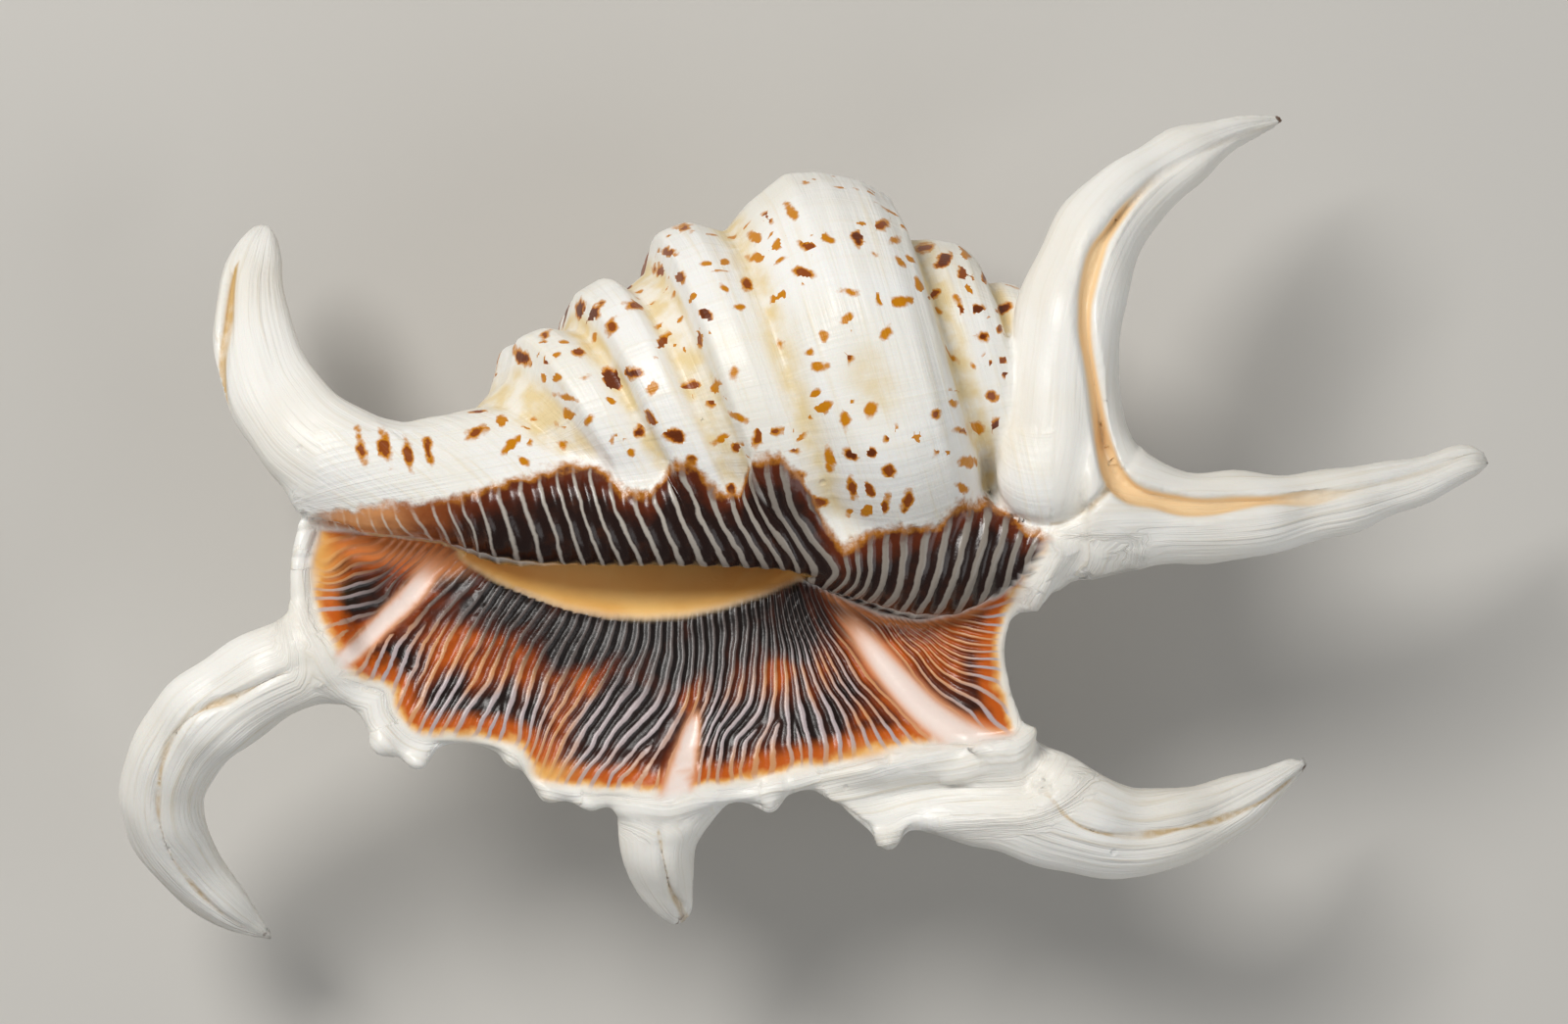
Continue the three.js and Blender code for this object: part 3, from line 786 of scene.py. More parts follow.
ribs = {
    "lip": [      # rib number, then its path in plan from the aperture out to the margin
        (-11, (-56.9, -0.8), (-59, -1.3), (-61.1, -1.9)),
        (-9, (-54.5, -3.1), (-58.3, -3.8), (-61.4, -5.7)),
        (-7, (-53.8, -5), (-58, -6.2), (-62.5, -6.9)),
        (-5, (-53.8, -6.9), (-57.6, -8.8), (-62.5, -9.1)),
        (-3.4, (-51.7, -6.7), (-53.8, -10.2), (-59.4, -11.4)),
        (-2, (-45.5, -3.3), (-49.7, -7.4), (-54.2, -11.6), (-58.7, -15.4)),
        (0, (-42.4, -4.5), (-46.2, -8.1), (-49.7, -11.9), (-52.4, -16.1), (-53.8, -19.5)),
        (2.5, (-38.9, -6), (-42.7, -11.6), (-45.5, -16.8), (-48.3, -22.3), (-50, -25.8)),
        (6, (-34.4, -8.4), (-37.9, -13.3), (-39.6, -17.4), (-42.7, -23), (-44.8, -26.4)),
        (9.5, (-29.2, -9.8), (-32.4, -16.1), (-34.8, -21.6), (-36.2, -27.8)),
        (13, (-24.1, -10.9), (-25.8, -16.1), (-28.9, -21.6), (-32.4, -27.5), (-33.7, -30.9)),
        (16, (-19.9, -11.2), (-20.9, -17.4), (-23.7, -22.3), (-27.9, -28.5), (-30.6, -32.7)),
        (19, (-15.7, -10.9), (-15.7, -17.4), (-17.1, -22.3), (-21.6, -28.2), (-24.7, -32)),
        (21, (-13.3, -11.6), (-13.3, -17.8), (-14.7, -24.7), (-17.1, -29.9), (-18.2, -35.1)),
        (26, (-6.4, -9.4), (-6.4, -16.6), (-7.1, -22.2), (-10.4, -26.7), (-11.2, -32.2)),
        (29, (-4, -7.6), (-2.9, -14.9), (-2.6, -22.2), (-1.9, -29.4)),
        (33, (-2.2, -6.6), (0.2, -14.2), (2.6, -20.1), (5, -24.3), (6.4, -30.1)),
        (37, (0.2, -7.3), (3, -13.9), (7.1, -20.1), (11.6, -24.9), (13.7, -27.4)),
        (40, (3, -9.7), (7.1, -14.2), (12, -20.1), (16.1, -24.3), (19.6, -26.7)),
        (43, (9.9, -12.1), (13.4, -16.6), (16.8, -20.8), (22.4, -25.3)),
        (46, (12, -12.1), (15.1, -14.9), (18.9, -18), (23.7, -19.4)),
        (49, (14, -12.1), (17.5, -14.6), (21, -15.9), (24.4, -15.9)),
        (52, (16.8, -11.4), (20.3, -12.8), (24.8, -13.5)),
        (56, (21, -9.4), (23, -9), (26.2, -7.3)),
    ],
    "callus": [
        (-9, (-60.5, 0.6), (-60, -0.6)),
        (-5.3, (-54.5, 1.6), (-53.5, -0.1)),
        (-3.5, (-51.4, 1.6), (-49.3, -0.3)),
        (-1.1, (-46.2, 3.7), (-43.4, -2.2)),
        (0, (-43.8, 3), (-41.7, -3.3)),
        (3.5, (-35, 4.7), (-33.4, 0), (-31.7, -5.2)),
        (8, (-25.3, 6.2), (-23.9, 1.9), (-20.6, -5.2)),
        (11.3, (-16.4, 4.7), (-14.5, 0), (-11.7, -5.2)),
        (14.5, (-8.8, 3.8), (-6.5, -0.9), (-3.6, -5.4)),
        (18, (-1.3, 1.9), (1.5, -2.3), (3.9, -5.6)),
        (19.4, (4.2, -0.8), (5.8, -4.2), (5.6, -6.8), (3.8, -8.2)),
        (21, (7.7, -0.4), (8.2, -4.2), (7.6, -7.4), (5.4, -9.2)),
        (23.4, (13.3, -0.9), (13.3, -4.7), (11.9, -8.9), (9.6, -11.1)),
        (25.7, (19.5, 1.4), (18.8, -3.7), (17.1, -8.5), (15.7, -11.1)),
        (28.1, (25.6, 1.9), (24.7, -2.8), (23.2, -7)),
        (29.4, (28.4, 0.5), (27, -4.2)),
    ],
    "callusTop": [      # the dark glaze climbs in the valleys between the cords
        (-63, 1.2), (-58, 2.2), (-51, 2.8), (-43, 4.1), (-37, 6), (-31, 7.7), (-27, 7.9), (-23, 4.6),
        (-19.8, 4.2), (-16.5, 8.5), (-13.9, 7.7), (-11.3, 4.6), (-8.2, 4.6), (-6.7, 8.4), (-3.3, 9.1),
        (-0.7, 6.3), (2, 1.2), (4.6, -2.4), (7.8, -0.8), (13, 0.2), (16.3, 0.3), (19, 2.4), (23, 3.6),
        (28.2, -0.2), (31, -1),
    ],
    "callusFoot": [
        (-63, 0.2), (-52.8, -0.6), (-46.6, -1.4), (-43.4, -2.8), (-40.3, -4.3), (-35.3, -5),
        (-15.3, -5.1), (-2.8, -5.4), (1.6, -7.2), (5.9, -9.3), (9.7, -10.9), (14.7, -11.6), (19.7, -10.6),
        (23.5, -8.8), (27.2, -6.5), (29.7, -3), (31.6, -1),
    ],
    "height": 0.2,
    "callusHeight": 0.24,
    "pad": 0.5,      # thickness of the callus over the whorl
}

stains = {      # on the lip: X, Y and half widths
    "dark": [
        (-24.1, -13.3, 15, 4.4), (-37.9, -9.8, 5.5, 3.8), (-44.8, -6.7, 2.8, 2.1), (-38.6, -23.5, 6, 3.2),
        (-52.4, -17.4, 3.8, 2.4), (-57.3, -9.1, 3.8, 2.1), (-24.1, -24, 7.5, 5), (-29.9, -15.5, 4.5, 3),
        (-9.1, -11.8, 11.4, 5.4), (-1.2, -13.5, 4, 6.2), (-6.4, -25.4, 11, 3.6), (4.2, -22.6, 2.6, 4.6),
        (7.5, -27, 5, 2.1), (23.2, -18, 2.4, 2), (24.4, -25, 3.4, 1.6), (24.1, -11.8, 2.1, 1.7),
        (-16, -17, 7, 4), (-46, -22, 4, 3),
    ],
    "orange": [
        (-39.5, -16.3, 5.2, 2.8), (-28.2, -19.2, 2.2, 2.2), (-2.6, -18.3, 3.2, 1.3),
        (-14.8, -22.5, 1.6, 2.6), (-52, -2.9, 5.5, 2.2), (14, -16, 4, 4),
    ],
    "plain": [(-53, -2.2, 8, 2.6), (-47, -4.4, 4.5, 2.2)],
    "blush": [(8.4, -29.6, 3.2, 1.6), (-32.9, -31.4, 3, 1.2), (-62, -4, 2.2, 4)],
}

spots = {      # on the whorls: X, Y, radius
    "ochre": [
        (-2.0, 40.2, 0.5), (-6.5, 37.1, 0.75), (-3.9, 35.7, 0.75), (-6.0, 34.3, 0.75), (2.5, 36.6, 0.75),
        (11.2, 36.3, 0.5), (-3.4, 29.2, 0.75), (-2.8, 29.5, 0.75), (12.1, 28.5, 0.75), (14.4, 30.5, 0.5),
        (5.1, 26.1, 0.75), (2.3, 24.2, 0.75), (1.5, 20.3, 0.75), (-15.4, 22.5, 0.5), (-11.4, 17.5, 0.75),
        (-9.1, 19.5, 0.75), (-31.9, 19.0, 0.5), (-30.1, 14.2, 0.95), (-34.8, 13.5, 0.5),
        (-39.0, 13.5, 0.75), (-37.4, 10.5, 0.75), (3.0, 8.6, 0.75), (13.9, 11.3, 0.75), (2.0, 15.2, 0.95),
        (4.8, 14.0, 0.75), (8.1, 14.7, 0.75), (7.8, 2.0, 0.75), (5.6, 2.0, 0.5), (19.9, 5.0, 0.5),
        (20.3, 8.3, 0.75), (20.3, 34.8, 0.75), (20.6, 30.5, 0.75), (26.2, 23.8, 0.75), (24.1, 8.1, 0.75),
        (21.8, 12.6, 0.95),
    ],
    "brown": [
        (-5.0, 39.5, 0.5), (0.2, 35.5, 0.75), (9.6, 38.2, 0.75), (-0.2, 32.1, 0.75), (-7.4, 30.8, 0.75),
        (15.8, 29.3, 0.5), (5.3, 21.3, 0.75), (-17.6, 35.0, 0.75), (-18.6, 32.8, 0.95),
        (-16.2, 31.8, 0.95), (-15.4, 38.3, 0.5), (-13.4, 24.1, 0.75), (-18.1, 23.5, 0.95),
        (-14.6, 17.7, 0.95), (-11.9, 15.7, 0.75), (-21.8, 28.3, 0.75), (-24.7, 25.7, 0.75),
        (-28.9, 22.3, 0.75), (-33.2, 21.1, 0.5), (-33.4, 24.2, 0.5), (-19.7, 13.7, 0.5),
        (-42.0, 12.1, 0.75), (-42.0, 14.7, 0.5), (-8.7, 10.0, 0.75), (-6.0, 11.3, 0.75),
        (-3.9, 12.1, 0.75), (-14.6, 8.6, 0.5), (10.4, 7.1, 0.95), (10.4, 11.2, 0.5), (16.3, 14.2, 0.5),
        (19.7, 12.1, 0.5), (16.6, 9.5, 0.5), (-1.5, 9.7, 0.5), (1.7, 3.3, 0.75), (6.0, 4.8, 0.75),
        (8.0, 4.8, 0.75), (9.9, 3.0, 0.75), (12.8, 3.6, 0.75), (15.2, 35.7, 0.75), (20.1, 32.3, 0.75),
        (23.2, 32.3, 0.75), (21.1, 31.8, 0.5), (19.7, 27.8, 0.75), (24.7, 25.2, 0.5), (23.4, 20.8, 0.75),
        (25.2, 21.3, 0.75), (23.7, 16.6, 0.75),
    ],
    "bars": [(-56.6, 10, 0.66), (-53.6, 10.1, 0.84), (-50.6, 9.3, 0.6), (-48.0, 9.5, 0.56)],
    "dark": [
        (6.5, 36.6, 0.95), (-12.7, 27.0, 0.95), (-27.1, 27.2, 0.95), (-28.9, 27.8, 0.95),
        (-24.7, 18.7, 1.7), (-22.1, 19.5, 0.95), (-36.2, 21.7, 0.95), (-21.3, 12.1, 0.95),
        (-16.7, 11.6, 0.95), (5.6, 9.2, 0.75), (8.1, 9.5, 0.75), (-9.6, 4.8, 0.75), (-1.0, 6.2, 0.75),
        (17.6, 34.2, 0.95), (21.8, 27.7, 0.75), (25.1, 27.8, 0.75), (22.4, 24.2, 0.75),
        (26.9, 21.7, 0.75), (26.1, 19.1, 0.75), (26.1, 16.3, 0.75), (24.8, 12.8, 1.7),
    ],
    "seed": 7,
    "stretch": (1.0, 2.3),
    "barLean": 1.75,
    "barStretch": 3.2,
    "placedSize": 0.68,
    "reach": 4.5,      # no mark is wider than this
    "scattered": 420,      # over the back and sides
    "flecks": 110,      # tiny ones between the placed spots
}


def drift(p, size, seed):
    # smooth seeded wander between about -1 and 1
    dice = np.random.default_rng(seed)
    total = np.zeros(len(p))
    for _ in range(7):
        way = dice.normal(size=3)
        way = way / np.linalg.norm(way) * tau / (size * dice.uniform(0.7, 1.5))
        total += np.sin(p @ way + dice.uniform(0, tau))
    return total / 4


def ribNumbers(paths):
    # a thin plate laid over the drawn ribs gives every place a rib number
    places = np.array([point for row in paths for point in row[1:]]) / 10
    numbers = np.array([row[0] for row in paths for point in row[1:]], float)

    def plate(a):
        away = ((a[:, None, :] - places[None]) ** 2).sum(axis=2)
        return away * np.log(away + 1e-9)

    n = len(places)
    flat = np.hstack([np.ones((n, 1)), places])
    system = np.block([[plate(places) + 0.004 * np.eye(n), flat], [flat.T, np.zeros((3, 3))]])
    weights = np.linalg.solve(system, np.concatenate([numbers, np.zeros(3)]))

    def number(x, y):
        a = np.stack([x, y], axis=1) / 10
        return plate(a) @ weights[:n] + np.hstack([np.ones((len(a), 1)), a]) @ weights[n:]

    return number


def stainField(kind, x, y):
    total = np.zeros(len(x))
    for middleX, middleY, halfX, halfY in stains[kind]:
        total = np.maximum(total, np.exp(-(((x - middleX) / halfX) ** 2 + ((y - middleY) / halfY) ** 2)))
    return total


def ribShape(number, split):
    once = 0.5 + 0.5 * np.cos(tau * number)
    twice = 0.5 + 0.5 * np.cos(2 * tau * number)
    return once * (1 - split) + twice * split


def listMarks(p, normals, up, onWhorl):
    # each mark: centre, the two ways it is measured along, radius and how dark it is
    dice = np.random.default_rng(spots["seed"])
    marks = []
    for kind, tone in (("ochre", 0.15), ("brown", 0.6), ("dark", 1.0), ("bars", 0.6)):
        for x, y, radius in spots[kind]:
            lean = dice.uniform(0, math.pi) if kind != "bars" else spots["barLean"]
            longer = dice.uniform(*spots["stretch"]) if kind != "bars" else spots["barStretch"]
            one = np.array([math.cos(lean), math.sin(lean), 0])
            other = np.array([-math.sin(lean), math.cos(lean), 0])
            marks.append((np.array([x, y, 0]), one / longer, other, radius * spots["placedSize"], tone))
    back = np.nonzero(onWhorl & ((normals[:, 2] < -0.15) | (p[:, 2] < 30)))[0]
    face = np.nonzero(onWhorl & up & (p[:, 1] > 8))[0]
    small = []
    for i in dice.choice(back, spots["scattered"]):
        small.append((i, dice.uniform(0.4, 1.5) ** 1.3, dice.choice([0.15, 0.6, 0.6, 1.0])))
    for i in dice.choice(face, spots["flecks"]):
        small.append((i, dice.uniform(0.12, 0.34), 0.1))
    for i, radius, tone in small:
        lean = dice.uniform(0, math.pi)
        across = np.cross(normals[i], axisAlong)
        across = across / max(np.linalg.norm(across), 1e-6)
        one = math.cos(lean) * axisAlong + math.sin(lean) * across
        other = math.cos(lean) * across - math.sin(lean) * axisAlong
        marks.append((p[i], one / dice.uniform(*spots["stretch"]), other, radius, tone))
    return marks


def spotFields(p, normals, onWhorl, clear):
    # the way to the middle of the nearest mark, its radius and how dark it is
    up = (p[:, 2] > 30) & (normals[:, 2] > -0.2)
    start = {"spotOne": 4.0, "spotOther": 4.0, "spotSize": -3.0, "spotDark": 0.0}
    values = {name: np.full(len(p), value) for name, value in start.items()}
    best = np.full(len(p), -9.0)
    second = best.copy()      # no mark is drawn where two of them meet
    for middle, one, other, radius, tone in listMarks(p, normals, up, onWhorl):
        if middle[2] == 0:      # a placed mark, measured in plan
            near = np.nonzero(up & clear & (np.abs(p[:, :2] - middle[:2]) < spots["reach"]).all(axis=1))[0]
        else:
            near = np.nonzero((np.abs(p - middle) < spots["reach"]).all(axis=1))[0]
        away = p[near] - middle
        a = away @ one
        b = away @ other
        inside = radius - np.hypot(a, b)
        better = inside > best[near]
        chosen = near[better]
        second[near] = np.maximum(second[near], np.minimum(inside, best[near]))
        best[chosen] = inside[better]
        values["spotOne"][chosen] = a[better]
        values["spotOther"][chosen] = b[better]
        values["spotSize"][chosen] = np.where(inside[better] > -0.7, radius, -3)
        values["spotDark"][chosen] = tone
    values["spotSize"][(best - second < 0.6) & (best < 0.1)] = -3
    return values


relief = {      # heights of the finer shapes in millimetres
    "strands": 0.16,
    "lumps": 0.42,
    "folds": 0.5,
    "fineFolds": 0.16,
    "ledge": 1.6,
    "underLedge": 3.4,
    "rings": 0.17,
    "dents": 0.14,
}


zones = {      # where each finish gives way to the next, start and end
    "upSide": (0.05, 0.4),      # lift of the normal
    "slotWall": (0.05, 0.7),
    "paintedLightDepth": (39.5, 34),
    "callusFront": (-64, -60),
    "callusRear": (29.5, 32.5),
    "callusHeight": (36, 38),
    "callusFoot": (-0.5, 0.3),
    "callusThick": (-1.2, 2.4),
    "callusWide": (-32, 6),
    "farEnd": (2, 12),
    "lipArea": (-0.4, 0.6),
    "lipHeight": (36.5, 38),
    "lipFoot": (-0.9, -0.1),
    "lipEdge": (-0.8, 0.6),
    "overFingers": (-1, 1),
    "margin": (-0.6, 0.8),
    "lobeHeight": (33, 36),
    "ledgeFront": (2, 14),
    "ledgeRear": (33, 28),
    "overWhorl": (-0.6, 1.6),
    "betweenFingers": (0.1, 1.6),
    "fingerTip": (0.955, 0.99),      # share of the finger's length
    "peachHalf": (0.2, 0.5),      # half widths of a slit between which peach comes in
}


def zone(name, x):
    return fade(x, *zones[name])


def fingerFields(f, p, parts):
    body = np.minimum(np.minimum(parts["whorl"], parts["lip"]), parts["columella"])
    ordered = np.sort([parts[name] for name in horns], axis=0)
    nearest = ordered[0]
    f["lined"] = zone("betweenFingers", ordered[1] - ordered[0])
    f["finger"] = zone("overWhorl", body - nearest)
    f["seam"] = np.full(len(p), 9.0)
    for name in ("seamTint", "peach", "strand", "fingerAlong", "tip"):
        f[name] = np.zeros(len(p))
    for name in horns:
        shape = fingers[name]
        mine = (parts[name] <= nearest + 1e-6) & (parts[name] < 6)
        across, above, beyond, half, t = fingerPlace(shape, p[mine])
        f["lined"][mine] *= shape["lines"]
        f["strand"][mine] = np.arctan2(across, above) * 6
        f["fingerAlong"][mine] = t * shape["length"]
        f["tip"][mine] = zone("fingerTip", t)
    for slit in slits.values():
        near = besideSlit(slit, p, nearest < 2.5, 3)
        fromEdge, above, half = slitPlace(slit, p[near])
        fromEdge = np.where(above > -0.3, fromEdge, 9)
        mine = fromEdge < f["seam"][near]
        near = near[mine]
        f["seam"][near] = fromEdge[mine]
        f["seamTint"][near] = slit["tint"]
        f["peach"][near] = slit["peach"] * zone("peachHalf", half[mine])


def gutterField(x, y):
    gutter = np.zeros(len(x))
    for path, deep, first, last in lip["channels"]:
        away, share = distanceToLine(x, y, curveThrough(path, channelSteps))
        half = first + (last - first) * share
        gutter = np.maximum(gutter, (1 - fade(away, half * 0.2, half * 1.35)) * fade(share, -0.05, 0.4))
    return gutter


def ribFields(f, x, y):
    flat = np.stack([x, y, np.zeros(len(x))], axis=1)
    for name, wander, forked in (("lip", 0.09, (1.9, 2.5)), ("callus", 0.05, (3.2, 4))):
        number = ribNumbers(ribs[name])
        here = number(x, y)
        slope = np.hypot(number(x + 0.2, y) - here, number(x, y + 0.2) - here) / 0.2
        spacing = 1 / np.maximum(slope, 0.1)
        f[name + "Rib"] = here + wander * drift(flat, 7, 3) + wander * 0.6 * drift(flat, 3.2, 5)
        f[name + "Split"] = fade(spacing, *forked)
    f["callusRib"] -= 0.25 * hump(f["callusTop"] + 0.5, 1.5)


def layFinishes(p, normals):
    # every field the material reads, and how far each vertex moves along its normal
    x, y, z = p.T
    along, radius, turn = whorlPlace(p)
    parts = shellParts(p)
    up = zone("upSide", normals[:, 2])
    f = {}
    fingerFields(f, p, parts)

    opening = np.minimum(parts["mouth"], parts["chamber"])
    f["inside"] = 1 - zone("slotWall", opening)
    f["fringe"] = np.clip(opening, 0, 12)
    # painted light: depth turns the slot's inside paler further down
    f["depth"] = zone("paintedLightDepth", z)

    top = lineOf(ribs["callusTop"], x) - y
    foot = y - lineOf(ribs["callusFoot"], x)
    within = zone("callusFront", x) * (1 - zone("callusRear", x)) * up * zone("callusHeight", z)
    f["callusTop"] = top
    f["callus"] = zone("callusFoot", foot) * within
    f["callusEnd"] = np.clip((x + 60) / 20, 0, 1)
    f["callusWide"] = zone("callusWide", x)
    f["far"] = zone("farEnd", x)
    pad = f["callus"] * zone("callusThick", top)

    edge = readLip("colour", p)
    outside = zone("lipArea", -readLip("area", p)) * up * zone("lipHeight", z)
    f["lip"] = outside * (1 - zone("lipFoot", foot)) * (1 - f["inside"]) * zone("lipEdge", edge)
    f["margin"] = np.clip(edge, -3, 30)
    free = f["finger"] * (1 - zone("overFingers", edge) * up)
    f["finger"] = np.maximum(free, outside * zone("margin", -edge))
    wide = 2.5 + 6.5 * fade(x, -4, 6)      # the lobe is the plain margin outside the ribs
    lobe = fade(-edge, 0, 1) * (1 - fade(-edge, wide, wide + 4)) * up
    lobe = lobe * zone("lobeHeight", z) * fade(foot, 0.5, -1)
    f["strand"] = f["strand"] * (1 - lobe) + 1.3 * edge * lobe
    f["gutter"] = gutterField(x, y)
    f["dark"] = np.clip(stainField("dark", x, y) * 1.2 - stainField("orange", x, y) * 0.95, -0.4, 1)
    f["blush"] = stainField("blush", x, y)
    beside = fade(x, 0, 4) * (1 - fade(-foot, 0.5, 2.6))      # ribs thin out under the callus
    f["ribbed"] = (1 - 0.85 * stainField("plain", x, y)) * (1 - 0.7 * beside)
    ribFields(f, x, y)

    f["whorlLine"] = np.where(along > 0, along / np.maximum(np.exp(growth * turn), 0.3), 0)
    f["whorlTurn"] = turn * 25
    f["valley"] = np.clip((readWhorl(whorlWide, along, turn) - radius) / 1.6, -1, 1)
    onWhorl = (parts["whorl"] < 1.2) & (f["finger"] < 0.3) & (f["inside"] < 0.2)
    f.update(spotFields(p, normals, onWhorl, parts["spireFinger"] > 0.9))

    lipRelief = ribShape(f["lipRib"], f["lipSplit"]) * fade(edge, 0.3, 3) * (1 - f["gutter"]) * f["lip"]
    callusRelief = ribShape(f["callusRib"], f["callusSplit"]) * pad
    move = ribs["height"] * lipRelief * f["ribbed"] + ribs["callusHeight"] * callusRelief + ribs["pad"] * pad
    strands = drift(np.stack([f["strand"], f["fingerAlong"] / 9, 0 * x], axis=1), 3.4, 11)
    move += (relief["strands"] * strands + relief["lumps"] * drift(p, 11, 31)) * f["finger"]
    folds = drift(np.stack([edge, x / 9, y / 9], axis=1), 3.4, 41)
    fine = drift(np.stack([edge, x / 14, y / 14], axis=1), 1.5, 43)
    move += (relief["folds"] * folds + relief["fineFolds"] * fine) * lobe
    ledge = relief["ledge"] * hump(edge + 2.1, 1.6) - relief["underLedge"] * hump(edge + 6.2, 2.5)
    move += ledge * zone("ledgeFront", x) * zone("ledgeRear", x) * lobe
    grown = (1 - f["finger"]) * (1 - f["lip"]) * (1 - f["callus"]) * (1 - f["inside"])
    rings = drift(np.stack([f["whorlTurn"], f["whorlLine"] / 5, 0 * x], axis=1), 5.5, 17)
    move += (relief["rings"] * rings + relief["dents"] * drift(p, 6, 23)) * grown
    return f, move


def thinOut(vertices, faces, protected):
    # drops triangles where the surface is plain, and none where it is protected
    mesh = bpy.data.meshes.new("draft")
    mesh.from_pydata(vertices.tolist(), [], faces)
    draft = bpy.data.objects.new("draft", mesh)
    bpy.context.scene.collection.objects.link(draft)
    group = draft.vertex_groups.new(name="plain")
    group.add(np.nonzero(~protected)[0].tolist(), 1.0, "REPLACE")
    thinner = draft.modifiers.new("thinner", "DECIMATE")
    thinner.ratio = shellMesh["triangles"] / sum(len(face) - 2 for face in faces)
    thinner.vertex_group = group.name
    thinner.use_collapse_triangulate = True
    thinned = bpy.data.meshes.new_from_object(draft.evaluated_get(bpy.context.evaluated_depsgraph_get()))
    places = np.zeros(3 * len(thinned.vertices))
    thinned.vertices.foreach_get("co", places)
    corners = np.zeros(len(thinned.loops), int)
    thinned.loops.foreach_get("vertex_index", corners)
    bpy.data.objects.remove(draft)
    bpy.data.meshes.remove(mesh)
    bpy.data.meshes.remove(thinned)
    return places.reshape(-1, 3), corners.reshape(-1, 3).tolist()


def surfaceNormals(vertices):
    slope = shellSlope(vertices)[1]
    return slope / np.maximum(np.linalg.norm(slope, axis=1), 1e-6)[:, None]


def chooseFine(vertices, faces):
    # the ribbed faces, the barred patch of the canal and both sides of each slit
    upper = surfaceNormals(vertices)[faces][:, :, 2].mean(axis=1)
    middle = vertices[faces].mean(axis=1)
    horn = nearestHorn(middle)
    patch, half = shellMesh["barredPatch"]
    barred = (np.abs(middle[:, :2] - patch) < half).all(axis=1)
    chosen = (upper > 0.12) & (middle[:, 2] > shellMesh["refinedAbove"])
    chosen &= (horn > shellMesh["offFingers"]) | barred
    chosen &= mouthDistance(middle) > shellMesh["offMouth"]
    for slit in slits.values():
        close = besideSlit(slit, middle, horn < 2.8, 3)
        fromEdge, above, half = slitPlace(slit, middle[close])
        chosen[close] |= (above > -0.3) & (fromEdge < 1.2)
    return chosen


def makeShell():
    vertices, faces = growShell()
    print("wrapped the surface:", len(faces), "squares")
    chosen = chooseFine(vertices, faces)
    vertices, faces, mixed = refine(vertices, faces, chosen)
    protected = np.zeros(len(vertices), bool)
    protected[faces[len(faces) - 4 * int(chosen.sum()):].ravel()] = True
    vertices = settle(vertices, 2, 0.4)
    vertices, faces = thinOut(vertices, faces.tolist() + mixed, protected)
    print("shaped the mesh:", sum(len(face) - 2 for face in faces), "triangles")
    normals = surfaceNormals(vertices)
    fields, move = layFinishes(vertices, normals)
    vertices = vertices + normals * move[:, None]
    vertices[:, 2] = np.maximum(vertices[:, 2], 0)
    mesh = bpy.data.meshes.new("shellSurface")
    mesh.from_pydata((vertices * millimetre).tolist(), [], faces)
    mesh.polygons.foreach_set("use_smooth", np.ones(len(mesh.polygons), bool))
    for name, values in fields.items():
        layer = mesh.attributes.new(name, "FLOAT", "POINT")
        layer.data.foreach_set("value", np.ascontiguousarray(values, np.float32))
    mesh.update()
    piece = bpy.data.objects.new("shellSurface", mesh)
    bpy.context.scene.collection.objects.link(piece)
    print("laid the finishes:", len(fields), "fields")
    return piece


# node helpers

def colour(code):
    parts = [int(code[i:i + 2], 16) / 255 for i in (0, 2, 4)]
    return tuple(c / 12.92 if c <= 0.04045 else ((c + 0.055) / 1.055) ** 2.4 for c in parts) + (1,)


def put(tree, socket, value):
    if isinstance(value, bpy.types.NodeSocket):
        tree.links.new(value, socket)
    else:
        socket.default_value = value


def calc(tree, how, *values):
    node = tree.nodes.new("ShaderNodeMath")
    node.operation = how
    for socket, value in zip(node.inputs, values):
        put(tree, socket, value)
    return node.outputs[0]


def times(tree, value, *others):
    for other in others:
        value = calc(tree, "MULTIPLY", value, other)
    return value


def ramp(tree, value, low, high, first=0.0, last=1.0):
    node = tree.nodes.new("ShaderNodeMapRange")
    node.interpolation_type = "SMOOTHSTEP"
    for socket, given in zip(node.inputs, (value, low, high, first, last)):
        put(tree, socket, given)
    return node.outputs[0]


def blend(tree, share, a, b):
    node = tree.nodes.new("ShaderNodeMix")
    node.data_type = "RGBA"
    put(tree, node.inputs[0], share)
    put(tree, node.inputs[6], a)
    put(tree, node.inputs[7], b)
    return node.outputs[2]


def layers(tree, paint, *laid):
    # each is a share and the colour laid over what is there
    for share, shade in laid:
        paint = blend(tree, share, paint, shade)
    return paint


def between(tree, share, a, b):
    node = tree.nodes.new("ShaderNodeMix")
    for index, value in ((0, share), (2, a), (3, b)):
        put(tree, node.inputs[index], value)
    return node.outputs[0]


def speckle(tree, size, detail=2.0, vector=None, rough=0.5):
    # noise whose lumps are about size millimetres across
    node = tree.nodes.new("ShaderNodeTexNoise")
    node.inputs["Scale"].default_value = 1000 / size if vector is None else 1 / size
    node.inputs["Detail"].default_value = detail
    node.inputs["Roughness"].default_value = rough
    if vector is None:
        vector = tree.nodes.new("ShaderNodeTexCoord").outputs["Object"]
    tree.links.new(vector, node.inputs["Vector"])
    return node.outputs[0]


def field(tree, name):
    node = tree.nodes.new("ShaderNodeAttribute")
    node.attribute_name = name
    return node.outputs["Fac"]


def startGroup(name, takes, gives):
    tree = bpy.data.node_groups.new(name, "ShaderNodeTree")
    for label, value in takes.items():
        socket = tree.interface.new_socket(name=label, in_out="INPUT", socket_type="NodeSocketFloat")
        socket.default_value = value
    for label, kind in gives.items():
        tree.interface.new_socket(name=label, in_out="OUTPUT", socket_type="NodeSocket" + kind)
    return tree, tree.nodes.new("NodeGroupInput").outputs, tree.nodes.new("NodeGroupOutput").inputs


def useGroup(tree, group, **values):
    node = tree.nodes.new("ShaderNodeGroup")
    node.node_tree = group
    for label, value in values.items():
        put(tree, node.inputs[label], value)
    return node.outputs


